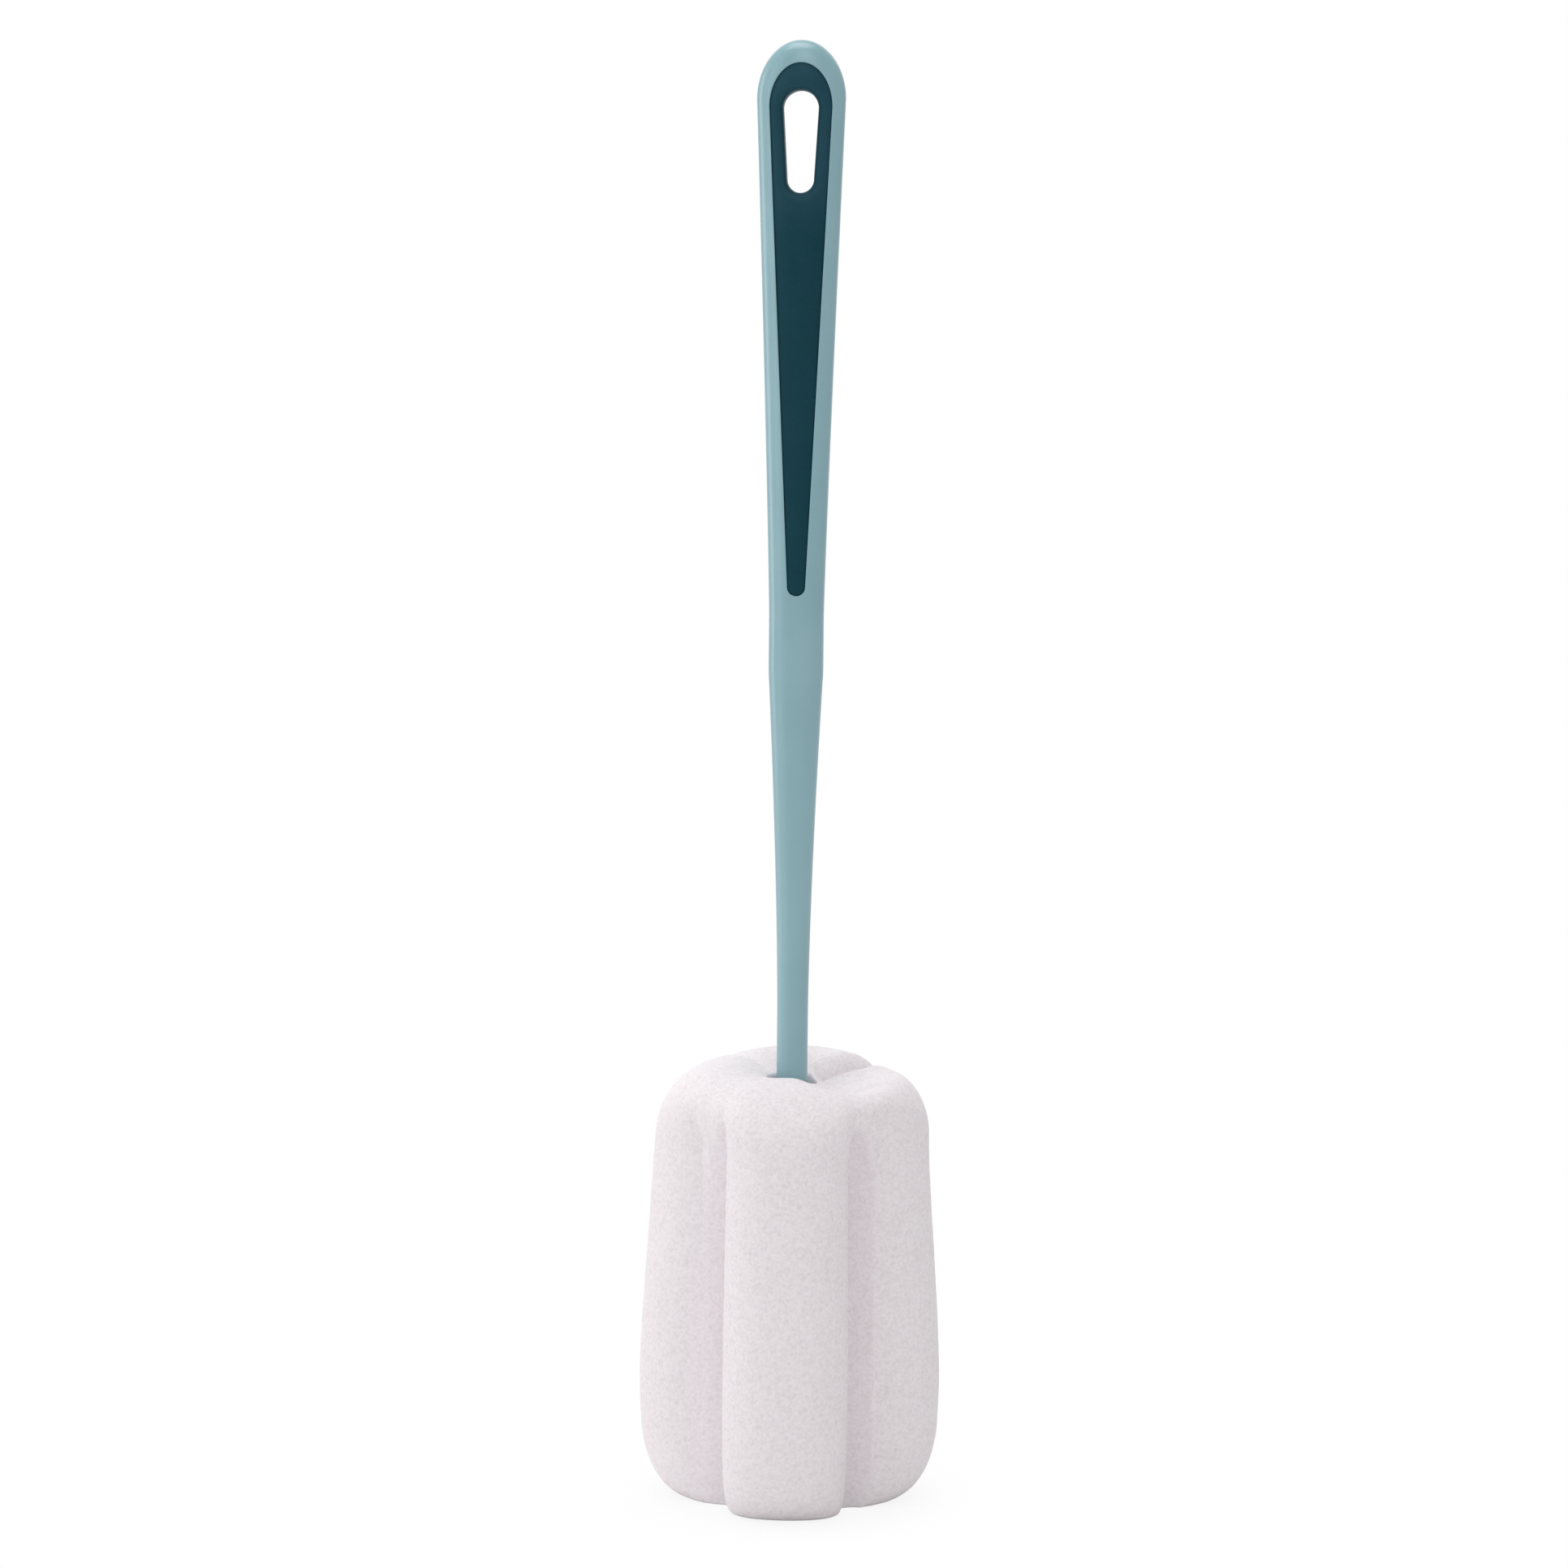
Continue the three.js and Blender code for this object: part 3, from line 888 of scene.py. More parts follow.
@dataclass
class Anchor:
    """The barbed foot of the stem that the foam is pushed onto."""

    stem_foot: float = 80.0 * MM
    tip: float = 22.0 * MM
    nose: float = 9.0 * MM
    nose_bluntness: float = 1.6 * MM
    nose_steps: int = 10
    spine_radius: float = 2.3 * MM
    spine_top_radius: float = 2.78 * MM
    spine_overlap: float = 4.0 * MM
    spine_turns: int = 40
    fin_foot: float = 29.0 * MM
    fin_thick: float = 1.8 * MM
    fin_count: int = 4
    barb_count: int = 5
    barb_pitch: float = 10.0 * MM
    barb_overlap: float = 0.01 * MM
    root_radius: float = 3.7 * MM
    barb_radius: float = 4.6 * MM
    barb_edge: float = 0.7 * MM
    barb_undercut: float = 1.0 * MM

    def spine(self) -> bpy.types.Object:
        """Turns the pointed round core.

        Returns:
            The core.
        """
        rings = []
        for step in range(1, self.nose_steps + 1):
            share = step / self.nose_steps
            reach = 2.0 * share * (1.0 - share) * self.nose_bluntness + share * share * self.spine_radius
            rings.append((reach, self.tip + share * share * self.nose))
        rings.append((self.spine_top_radius, self.stem_foot + self.spine_overlap))
        angles = [2.0 * math.pi * turn / self.spine_turns for turn in range(self.spine_turns)]
        return turned_object("anchor_spine", angles, rings, self.tip)

    def tooth(self) -> bpy.types.Object:
        """Cuts one barb with its share of the fin, standing at Z = 0.

        Returns:
            The barb.
        """
        top = self.barb_pitch + self.barb_overlap
        side = [
            (0.0, 0.0),
            (self.root_radius, 0.0),
            (self.barb_radius, top - self.barb_undercut - self.barb_edge),
            (self.barb_radius, top - self.barb_undercut),
            (self.root_radius, top),
            (0.0, top),
        ]
        half = 0.5 * self.fin_thick
        vertices = [(x, y, z) for y in (-half, half) for x, z in side]
        count = len(side)
        faces: list[tuple[int, ...]] = [tuple(range(count)), tuple(range(2 * count - 1, count - 1, -1))]
        faces += [(i, (i + 1) % count, count + (i + 1) % count, count + i) for i in range(count)]
        return mesh_object("anchor_tooth", vertices, faces)

    def join_to(self, handle: bpy.types.Object, material: bpy.types.Material) -> None:
        """Repeats the tooth up and around the spine and makes one solid of it all and the handle.

        Args:
            handle: The loft that ends in the plain stem.
            material: The handle's finish.
        """
        spine, tooth = self.spine(), self.tooth()
        garden = Garden("barbed_anchor")
        recipe = garden.recipe
        fins = garden.input("Fins", "Int", self.fin_count)
        row = recipe.node("GeometryNodeMeshLine")
        recipe.link(garden.input("Barbs", "Int", self.barb_count), row.inputs["Count"])
        recipe.link(recipe.upright(garden.size("Fin foot", self.fin_foot)), row.inputs["Start Location"])
        recipe.link(recipe.upright(garden.size("Barb pitch", self.barb_pitch)), row.inputs["Offset"])
        up = self._copies(recipe, row, self._source(garden, "Tooth", tooth))
        ring = recipe.node("GeometryNodeMeshLine")
        ring.inputs["Offset"].default_value = (0.0, 0.0, 0.0)
        recipe.link(fins, ring.inputs["Count"])
        index = recipe.formula(recipe.node("GeometryNodeInputIndex").outputs[0])
        turn = recipe.upright(index * (2.0 * math.pi) / recipe.formula(fins))
        around = self._copies(recipe, ring, up, turn)
        core = self._union(recipe, True, around, self._source(garden, "Spine", spine))
        garden.finish(self._union(recipe, False, garden.entry.outputs[0], core), material)
        garden.grow(handle)
        for used in (spine, tooth):
            bpy.data.objects.remove(used)

    @staticmethod
    def _source(garden: Garden, name: str, made: bpy.types.Object) -> bpy.types.NodeSocket:
        """An object's mesh as a named input of a tree.

        Args:
            garden: The tree.
            name: The input's name.
            made: The object.

        Returns:
            The mesh's socket.
        """
        info = garden.recipe.node("GeometryNodeObjectInfo")
        garden.recipe.link(garden.input(name, "Object", made), info.inputs["Object"])
        return info.outputs["Geometry"]

    @staticmethod
    def _copies(
        recipe: Recipe,
        points: bpy.types.Node,
        shape: bpy.types.NodeSocket,
        turn: bpy.types.NodeSocket | None = None,
    ) -> bpy.types.NodeSocket:
        """Copies of a shape on points, as plain mesh.

        Args:
            recipe: The tree.
            points: The node that makes the points.
            shape: What is copied.
            turn: How each copy is turned.

        Returns:
            The copies' socket.
        """
        copies = recipe.node("GeometryNodeInstanceOnPoints")
        recipe.link(points.outputs[0], copies.inputs["Points"])
        recipe.link(shape, copies.inputs["Instance"])
        if turn is not None:
            recipe.link(turn, copies.inputs["Rotation"])
        plain = recipe.node("GeometryNodeRealizeInstances")
        recipe.link(copies.outputs[0], plain.inputs[0])
        return plain.outputs[0]

    @staticmethod
    def _union(recipe: Recipe, own: bool, *shapes: bpy.types.NodeSocket) -> bpy.types.NodeSocket:
        """One solid made of several.

        Args:
            recipe: The tree.
            own: Whether a shape may run into itself.
            shapes: What is joined.

        Returns:
            The solid's socket.
        """
        union = recipe.node("GeometryNodeMeshBoolean", operation="UNION", solver="EXACT")
        union.inputs["Self Intersection"].default_value = own
        for shape in shapes:
            recipe.link(shape, union.inputs["Mesh 2"])
        return union.outputs[0]


@dataclass
class Handle:
    """The two-shot handle: the hard moulding and the soft inlay on both its faces."""

    form: GripForm = field(default_factory=GripForm)
    anchor: Anchor = field(default_factory=Anchor)
    inlay: SlotOutline = SlotOutline(
        top=285.5 * MM, half_width=6.10 * MM, top_rise=8.5 * MM, foot=181.7 * MM, foot_radius=1.75 * MM
    )
    hole: SlotOutline = SlotOutline(
        top=280.2 * MM, half_width=3.45 * MM, top_rise=3.45 * MM, foot=260.4 * MM, foot_radius=2.65 * MM
    )
    inlay_depth: float = 1.7 * MM
    inlay_proud: float = 0.15 * MM
    lining: float = 1.3 * MM
    seam: float = 0.02 * MM
    lip_round: float = 0.16 * MM
    lip_shares: tuple[float, ...] = (0.0, 0.25, 0.55, 1.0)
    pad_round: float = 0.20 * MM
    pad_shares: tuple[float, ...] = (1.0, 0.5, 0.2, 0.0)
    pad_crown: float = 0.45 * MM
    pad_crown_reach: float = 5.0 * MM
    hole_round: float = 2.0 * MM
    hole_shares: tuple[float, ...] = (0.0, 0.03, 0.12, 0.27, 0.5, 0.75, 1.0)
    floor_shares: tuple[float, ...] = (0.0, 0.25, 0.5, 0.75, 1.0)
    under_shares: tuple[float, ...] = (0.0, 0.33, 0.67, 1.0)
    side_steps: int = 22
    face_steps: int = 10
    hard_row_pitch: float = 1.6 * MM
    soft_row_pitch: float = 1.4 * MM
    crown_steps: int = 28
    edge_steps: int = 14
    rim_steps: int = 12
    lining_steps: int = 8

    @property
    def pocket(self) -> SlotOutline:
        """The hollow for the inlay in each face of the hard moulding."""
        return self.inlay.grown(self.seam)

    @property
    def eye(self) -> SlotOutline:
        """The opening of the hard moulding round the lining."""
        return self.hole.grown(self.lining + self.seam)

    def lips(self) -> list[SlotOutline]:
        """Rings of the pocket's rounded lip, from the pocket outwards."""
        return [self.pocket.grown(share * self.lip_round) for share in self.lip_shares]

    def rims(self) -> list[SlotOutline]:
        """Rings of the inlay's round into the hole, from the hole outwards."""
        return [self.hole.grown(share * self.hole_round) for share in self.hole_shares]

    def edges(self) -> list[SlotOutline]:
        """Rings of the inlay's rounded edge, going outwards."""
        return [self.inlay.grown(-share * self.pad_round) for share in self.pad_shares]

    def hard_row(self, z: float) -> list[Point]:
        """A quarter row of the hard moulding: pocket floor, wall, lip, then round the side.

        Args:
            z: The row's height.

        Returns:
            Across and thickness of its points.
        """
        edge = self.pocket.half_width_at(z)
        inner = min(self.eye.half_width_at(z), edge)
        row = []
        for share in self.floor_shares:
            x = lerp(inner, edge, share)
            row.append((x, self.form.surface(x, z, -self.inlay_depth - self.seam)))
        for lip in self.lips():
            x = lip.half_width_at(z)
            drop = fall(self.lip_round, self.pocket.distance(x, z))
            row.append((x, self.form.surface(x, z) - drop))
        start = row[-1][0]
        row += [self.form.side(z, start, step / self.side_steps) for step in range(1, self.side_steps + 1)]
        return row

    def soft_row(self, z: float) -> list[Point]:
        """A quarter row of the inlay: rim of the hole, face, edge, underside to the lining.

        Args:
            z: The row's height.

        Returns:
            Across and thickness of its points.
        """
        rim = [ring.half_width_at(z) for ring in self.rims()]
        edge = [ring.half_width_at(z) for ring in self.edges()]
        face = [lerp(rim[-1], edge[0], step / self.face_steps) for step in range(1, self.face_steps)]
        row = [(x, self.face(x, z)) for x in (*rim, *face, *edge)]
        stop = min(self.hole.grown(self.lining).half_width_at(z), edge[-1])
        for share in self.under_shares:
            x = lerp(edge[-1], stop, share)
            row.append((x, self.form.surface(x, z, -self.inlay_depth)))
        return row

    def face(self, x: float, z: float) -> float:
        """Half thickness of the inlay's pillowed face, rounded off at its edge and into the hole.

        Args:
            x: Across.
            z: Up.

        Returns:
            The half thickness.
        """
        out = self.inlay.distance(x, z)
        drop = fall(self.hole_round, self.hole.distance(x, z)) + fall(self.pad_round, -out)
        drop += self.pad_crown * clamp(1.0 + out / self.pad_crown_reach) ** 2
        return self.form.surface(x, z, self.inlay_proud) - drop

    def build_hard(self, material: bpy.types.Material) -> bpy.types.Object:
        """The hard moulding with its barbed anchor.

        Args:
            material: Its finish.

        Returns:
            The piece.
        """
        form = self.form
        count = round((form.widest - form.stem_foot) / self.hard_row_pitch)
        plain = [lerp(form.stem_foot, form.widest, step / count) for step in range(count)]
        turns = [0.5 * math.pi * step / self.crown_steps for step in range(self.crown_steps + 1)]
        crown = [lerp(form.widest, form.top, math.sin(turn)) for turn in turns]
        lips = [lip.end_levels(self.edge_steps) for lip in self.lips()]
        eye = self.eye.end_levels(self.lining_steps)
        made = RowSkin("handle_moulding", even_levels(plain, crown, eye, *lips), self.hard_row).build()
        self.anchor.join_to(made, material)
        smooth(made)
        return made

    def build_soft(self, material: bpy.types.Material) -> bpy.types.Object:
        """The inlay: a pad on each face and the lining of the hole.

        Args:
            material: Its finish.

        Returns:
            The piece.
        """
        count = round((self.inlay.top - self.inlay.foot) / self.soft_row_pitch)
        plain = [lerp(self.inlay.foot, self.inlay.top, step / count) for step in range(1, count)]
        rims = [ring.end_levels(self.rim_steps) for ring in self.rims()]
        edges = [ring.end_levels(self.edge_steps) for ring in self.edges()]
        lining = self.hole.grown(self.lining).end_levels(self.lining_steps)
        made = RowSkin("inlay_moulding", even_levels(plain, lining, *rims, *edges), self.soft_row).build()
        made.data.materials.append(material)
        smooth(made)
        return made

    def dress(self) -> list[bpy.types.Object]:
        """Builds both mouldings in place of their solids.

        Returns:
            The pieces.
        """
        hard = self.build_hard(SatinPlastic().make())
        soft = self.build_soft(SoftRubber().make())
        for made, node, finish in ((hard, "handle", Finish.PLASTIC), (soft, "grip_inlay", Finish.RUBBER)):
            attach(made, Body.HANDLE.value)
            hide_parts(node)
        return [hard, soft]


@dataclass(frozen=True)
class Pits:
    """One size of the foam's pores, no two alike. Rim and floor are in pitches from a pit's middle."""

    pitch: float
    rim: float
    floor: float
    least_chance: float
    full_chance: float
    depth: float

    def depth_at(self, recipe: Recipe, place: bpy.types.NodeSocket) -> Formula:
        """How deep a point lies in a pit.

        Args:
            recipe: The tree.
            place: The vector that the pits are read at.

        Returns:
            From 0 on the walls to the depth in the deepest pit.
        """
        distance, chance = recipe.cells(place, self.pitch)
        sunk = distance.eased(self.rim, self.floor) * chance.eased(self.least_chance, self.full_chance)
        return sunk * self.depth


@dataclass(frozen=True)
class Spot:
    """Where a point of the foam's round blank lies, as numbers in the tree.

    Attributes:
        x: Across.
        y: Backwards.
        z: Up.
        reach: Distance from the axis.
        angle: Angle round the axis.
        offset: Angle from the nearest lobe's middle.
        forwards: 1 right in front of the axis, -1 right behind it.
        left: 1 on the left, 0 on the right.
        back: 1 right behind the axis, 0 beside it and in front.
        upper: 0 on the flanks, 1 at the top.
        outer: 0 at the mouth, 1 from the crest outwards.
        mouth: Reach of the mouth's rim.
        crest: Reach of the crest.
    """

    x: Formula
    y: Formula
    z: Formula
    reach: Formula
    angle: Formula
    offset: Formula
    forwards: Formula
    left: Formula
    back: Formula
    upper: Formula
    outer: Formula
    mouth: Formula
    crest: Formula


@dataclass
class FoamBlank:
    """The head before its lobes and pores: a plain round block with its bore."""

    height: float = 88.0 * MM
    radius: float = 30.3 * MM
    widest: float = 24.0 * MM
    shoulder_radius: float = 27.5 * MM
    shoulder: float = 74.0 * MM
    shoulder_roundness: float = 0.54
    shoulder_tuck: float = 0.2 * MM
    crest_radius: float = 14.0 * MM
    crest_pull: float = 4.0 * MM
    base_radius: float = 20.5 * MM
    base_round_radius: float = 29.95 * MM
    base_round: float = 14.0 * MM
    base_lean: float = 0.7 * MM
    roundness: float = 0.56
    foot_pull: float = 4.0 * MM
    foot_swell: float = 0.2 * MM
    flank_foot_pull: float = 12.0 * MM
    flank_top_pull: float = 14.0 * MM
    flank_swell: float = 0.5 * MM
    mouth: float = 85.0 * MM
    mouth_radius: float = 5.1 * MM
    mouth_flare: float = 1.5 * MM
    mouth_lift: float = 1.2 * MM
    bore_radius: float = 4.9 * MM
    bore_foot: float = 21.7 * MM
    bore_lead: float = 0.6 * MM
    lobes: int = 4
    lobe_half_width: float = 12.4 * MM
    quad: float = 0.38 * MM
    quick_coarseness: float = 2.0
    groove_columns: float = 0.45
    base_rings: int = 9
    bore_rings: int = 40
    least_rings: int = 4
    curve_steps: int = 24

    @property
    def sector(self) -> float:
        """Angle from a lobe's middle to the groove's."""
        return math.pi / self.lobes

    @property
    def lip_angle(self) -> float:
        """How far round from a lobe's middle its round nose ends and the groove begins."""
        return math.atan2(self.lobe_half_width, self.radius - self.lobe_half_width)

    def outline(self) -> list[Curve]:
        """The blank's outline from its base up and into the mouth.

        Returns:
            Curves of four points each, of which the first and last lie on the outline.
        """
        base_run = self.roundness * (self.base_round_radius - self.base_radius)
        crest_run = self.roundness * (self.shoulder_radius - self.crest_radius)
        shoulder_rise = self.shoulder_roundness * (self.height - self.shoulder)
        knots = [
            (self.base_radius, 0.0),
            (self.base_round_radius, self.base_round),
            (self.radius, self.widest),
            (self.shoulder_radius, self.shoulder),
            (self.crest_radius, self.height),
            (self.mouth_radius, self.mouth),
        ]
        pulls = [
            (self.base_radius + base_run, 0.0),
            (self.base_round_radius - self.base_lean, (1.0 - self.roundness) * self.base_round),
            (self.base_round_radius + self.foot_swell, self.base_round + self.foot_pull),
            (self.radius, self.widest - self.foot_pull),
            (self.radius, self.widest + self.flank_foot_pull),
            (self.shoulder_radius + self.flank_swell, self.shoulder - self.flank_top_pull),
            (self.shoulder_radius - self.shoulder_tuck, self.shoulder + shoulder_rise),
            (self.crest_radius + crest_run, self.height),
            (self.crest_radius - self.crest_pull, self.height),
            (self.mouth_radius + self.mouth_flare, self.mouth + self.mouth_lift),
        ]
        return list(zip(knots, pulls[::2], pulls[1::2], knots[1:]))

    @staticmethod
    def along(curve: Curve, share: float) -> Point:
        """A point on a curve of four points.

        Args:
            curve: The curve.
            share: How far along it the point is.

        Returns:
            Reach and height.
        """
        rest = 1.0 - share
        weights = (rest**3, 3.0 * rest * rest * share, 3.0 * rest * share * share, share**3)
        reach, height = (sum(w * value for w, value in zip(weights, values)) for values in zip(*curve))
        return reach, height

    def rings(self, quad: float) -> list[Point]:
        """Reach and height of every ring of the blank, from the base's middle to the bore's.

        Args:
            quad: Distance between rings where the foam shows.

        Returns:
            The rings.
        """
        rings = [(self.base_radius * step / self.base_rings, 0.0) for step in range(1, self.base_rings)]
        for curve in self.outline():
            coarse = [self.along(curve, step / self.curve_steps) for step in range(self.curve_steps + 1)]
            length = sum(math.dist(a, b) for a, b in zip(coarse, coarse[1:]))
            count = max(round(length / quad), self.least_rings)
            rings += [self.along(curve, step / count) for step in range(count)]
        for share in (0.0, 0.5, 1.0):
            reach = lerp(self.mouth_radius, self.bore_radius, share)
            rings.append((reach, self.mouth - share * self.bore_lead))
        depth = self.mouth - self.bore_lead - self.bore_foot
        for step in range(1, self.bore_rings + 1):
            rings.append((self.bore_radius, self.bore_foot + depth * (1.0 - step / self.bore_rings)))
        rings.append((0.5 * self.bore_radius, self.bore_foot))
        return rings

    def angles(self, quad: float) -> list[float]:
        """Angles of the blank's columns, close together where the groove's walls will be steep.

        Args:
            quad: Distance between columns where the foam shows.

        Returns:
            The angles of the whole turn.
        """
        sector, lip = self.sector, self.lip_angle
        nose_steps = round(0.5 * math.pi * self.lobe_half_width / quad)
        groove_steps = round(nose_steps * self.groove_columns)
        middle = self.radius - self.lobe_half_width
        half = []
        for step in range(nose_steps):
            turn = 0.5 * math.pi * step / nose_steps
            sideways = self.lobe_half_width * math.sin(turn)
            half.append(math.atan2(sideways, middle + self.lobe_half_width * math.cos(turn)))
        for step in range(groove_steps):
            half.append(sector - (sector - lip) * math.cos(0.5 * math.pi * step / groove_steps))
        lobe = half + [2.0 * sector - value for value in (sector, *reversed(half[1:]))]
        return [2.0 * sector * turn + value for turn in range(self.lobes) for value in lobe]

    def build(self) -> bpy.types.Object:
        """Turns the block.

        Returns:
            The block.
        """
        quad = self.quad * 1.0
        return turned_object("foam_head", self.angles(quad), self.rings(quad), 0.0, self.bore_foot)


@dataclass
class FoamHead:
    """The four-lobed foam head, its lobes and pores made by one tree from a round blank."""

    blank: FoamBlank = field(default_factory=FoamBlank)
    nose_flatness: float = 0.9 * MM
    side_blend: float = 1.0 * MM
    groove_floor: float = 16.2 * MM
    groove_fullness: float = 0.65
    lip_lean: float = 0.2
    lip_softness: float = 0.05
    left_softness: float = 0.45
    left_span: Point = (-4.0 * MM, 2.0 * MM)
    arch_foot: float = 64.0 * MM
    arch_rise: float = 15.0 * MM
    left_arch_foot: float = 48.0 * MM
    left_arch_rise: float = 31.0 * MM
    fill_foot: float = 72.0 * MM
    fill_top: float = 86.0 * MM
    shoulder_fill: float = 0.75
    upper_foot: float = 66.0 * MM
    mouth_run: float = 3.0 * MM
    crease_depth: float = 1.4 * MM
    crease_width: float = 3.2 * MM
    crease_rise: float = 7.5 * MM
    crease_turn: float = 0.2
    crease_front: float = 0.15
    crease_back: float = 0.85
    crease_right: float = 2.2
    crease_right_run: float = 4.0 * MM
    saddle_depth: float = 1.0 * MM
    saddle_turn: float = 0.5
    saddle_least: float = 0.4
    front_slump: float = 1.5 * MM
    right_slump: float = 5.2 * MM
    right_border: Point = (-0.5 * MM, 2.0 * MM)
    right_rise: Point = (24.0 * MM, 12.0 * MM)
    right_drop: Point = (3.5 * MM, 9.0 * MM)
    lean: float = 0.5 * MM
    back_fullness: float = 0.15
    back_lift: float = 0.5 * MM
    coarse_pits: Pits = Pits(
        pitch=0.95 * MM, rim=0.62, floor=0.12, least_chance=-0.1, full_chance=0.9, depth=1.0
    )
    fine_pits: Pits = Pits(
        pitch=0.60 * MM, rim=0.60, floor=0.15, least_chance=0.1, full_chance=1.0, depth=0.6
    )
    pore_depth: float = 0.18 * MM
    plain_radius: float = 8.0 * MM
    plain_foot: float = 1.5 * MM
    swell_pitch: float = 11.0 * MM
    swell_depth: float = 0.12 * MM
    swell_detail: float = 1.0

    def tree(self, material: bpy.types.Material, pore_attribute: str) -> Garden:
        """The tree that cuts the lobes and opens the pores.

        Args:
            material: The foam's finish.
            pore_attribute: Name under which the finish finds how deep a point lies in a pore.

        Returns:
            The tree.
        """
        garden = Garden("lobed_foam")
        recipe = garden.recipe
        shaped = self._cut_lobes(garden)
        place = recipe.node("GeometryNodeInputPosition").outputs[0]
        x, y, z = recipe.parts(place)
        bore = garden.size("Bore radius", self.blank.bore_radius)
        outside = (x * x + y * y).root().eased(bore, self.plain_radius) * z.eased(0.0, self.plain_foot)
        pits = self.coarse_pits.depth_at(recipe, place)
        pore = pits.math("MAXIMUM", self.fine_pits.depth_at(recipe, place)) * outside
        kept = recipe.node("GeometryNodeStoreNamedAttribute", data_type="FLOAT", domain="POINT")
        kept.inputs["Name"].default_value = pore_attribute
        recipe.link(shaped, kept.inputs["Geometry"])
        recipe.link(pore.socket, kept.inputs["Value"])
        swell = recipe.noise(place, self.swell_pitch, self.swell_detail)
        swell = swell * garden.size("Swell depth", self.swell_depth) * outside
        sunk = (pore * garden.size("Pore depth", self.pore_depth) + swell) * -1.0
        push = recipe.node("ShaderNodeVectorMath", operation="SCALE")
        recipe.link(recipe.node("GeometryNodeInputNormal").outputs[0], push.inputs[0])
        recipe.link(sunk.socket, push.inputs["Scale"])
        moved = recipe.node("GeometryNodeSetPosition")
        recipe.link(kept.outputs[0], moved.inputs["Geometry"])
        recipe.link(push.outputs[0], moved.inputs["Offset"])
        garden.finish(moved.outputs[0], material)
        return garden

    def _cut_lobes(self, garden: Garden) -> bpy.types.NodeSocket:
        """Draws the round blank in to the lobed section, with creases and slumped lobes on its top.

        Args:
            garden: The tree.

        Returns:
            The shaped mesh's socket.
        """
        recipe = garden.recipe
        spot = self._spot(garden)
        drawn = self._drawn(garden, spot)
        lean = spot.upper * spot.outer * garden.size("Lean", self.lean)
        lowered = spot.z - self._sunk(garden, spot, drawn) - self._slump(garden, spot)
        moved = recipe.node("ShaderNodeCombineXYZ")
        recipe.link((drawn * spot.angle.math("COSINE") + lean).socket, moved.inputs["X"])
        recipe.link((drawn * spot.angle.math("SINE")).socket, moved.inputs["Y"])
        recipe.link(lowered.socket, moved.inputs["Z"])
        shaped = recipe.node("GeometryNodeSetPosition")
        recipe.link(garden.entry.outputs[0], shaped.inputs["Geometry"])
        recipe.link(moved.outputs[0], shaped.inputs["Position"])
        return shaped.outputs[0]

    def _spot(self, garden: Garden) -> Spot:
        """Where the blank's points lie.

        Args:
            garden: The tree.

        Returns:
            The place, in the numbers that the shaping needs.
        """
        recipe = garden.recipe
        x, y, z = recipe.parts(recipe.node("GeometryNodeInputPosition").outputs[0])
        mouth = garden.size("Mouth radius", self.blank.mouth_radius)
        crest = garden.size("Crest radius", self.blank.crest_radius)
        reach = (x * x + y * y).root()
        angle = y.math("ARCTAN2", x)
        forwards = y / reach * -1.0
        return Spot(
            x=x,
            y=y,
            z=z,
            reach=reach,
            angle=angle,
            offset=angle.math("WRAP", self.blank.sector, -self.blank.sector).unsigned(),
            forwards=forwards,
            left=x.eased(self.side_blend, -self.side_blend),
            back=self._towards(forwards * -1.0),
            upper=z.eased(self.upper_foot, self.blank.height),
            outer=reach.eased(mouth, crest),
            mouth=mouth,
            crest=crest,
        )

    def _drawn(self, garden: Garden, spot: Spot) -> Formula:
        """Reach of a point once the blank is drawn in.

        Args:
            garden: The tree.
            spot: The point on the blank.

        Returns:
            The reach: a flatter nose in front, a fuller crest at the back.
        """
        limit = spot.reach.math("MAXIMUM", spot.crest)
        on_front = (spot.y * -1.0 - spot.x.unsigned()).eased(-self.side_blend, self.side_blend)
        bend = (spot.offset / self.blank.lip_angle).math("MINIMUM", 1.0) ** 2.0
        # A share times its rest is a quarter at most, so four times that peaks at the full flatness.
        flatter = bend * bend.less_from(1.0) * on_front * (4.0 * self.nose_flatness)
        drawn_in = (self._section(garden, spot, limit) + flatter) / limit - 1.0
        fuller = spot.back * spot.upper * spot.upper * self.back_fullness
        return spot.reach * ((drawn_in + fuller) * spot.outer + 1.0)

    def _section(self, garden: Garden, spot: Spot, limit: Formula) -> Formula:
        """Reach of the lobed section: round noses, and grooves between them.

        Args:
            garden: The tree.
            spot: The point on the blank.
            limit: Reach of a lobe's middle at its height.

        Returns:
            The reach.
        """
        lip = self.blank.lip_angle
        half_width = garden.size("Lobe half width", self.blank.lobe_half_width)
        floor = garden.size("Groove floor", self.groove_floor)
        centre = limit - half_width
        turned = spot.offset.math("MINIMUM", lip)
        nose = centre * turned.math("COSINE") + self._leg(half_width, centre * turned.math("SINE"))
        edge = centre * math.cos(lip) + self._leg(half_width, centre * math.sin(lip))
        filled = spot.z.eased(self.fill_foot, self.fill_top)
        filled = filled * garden.size("Shoulder fill", self.shoulder_fill)
        nose, edge = nose + (limit - nose) * filled, edge + (limit - edge) * filled
        return nose - (edge - floor).above_zero() * self._groove(garden, spot)

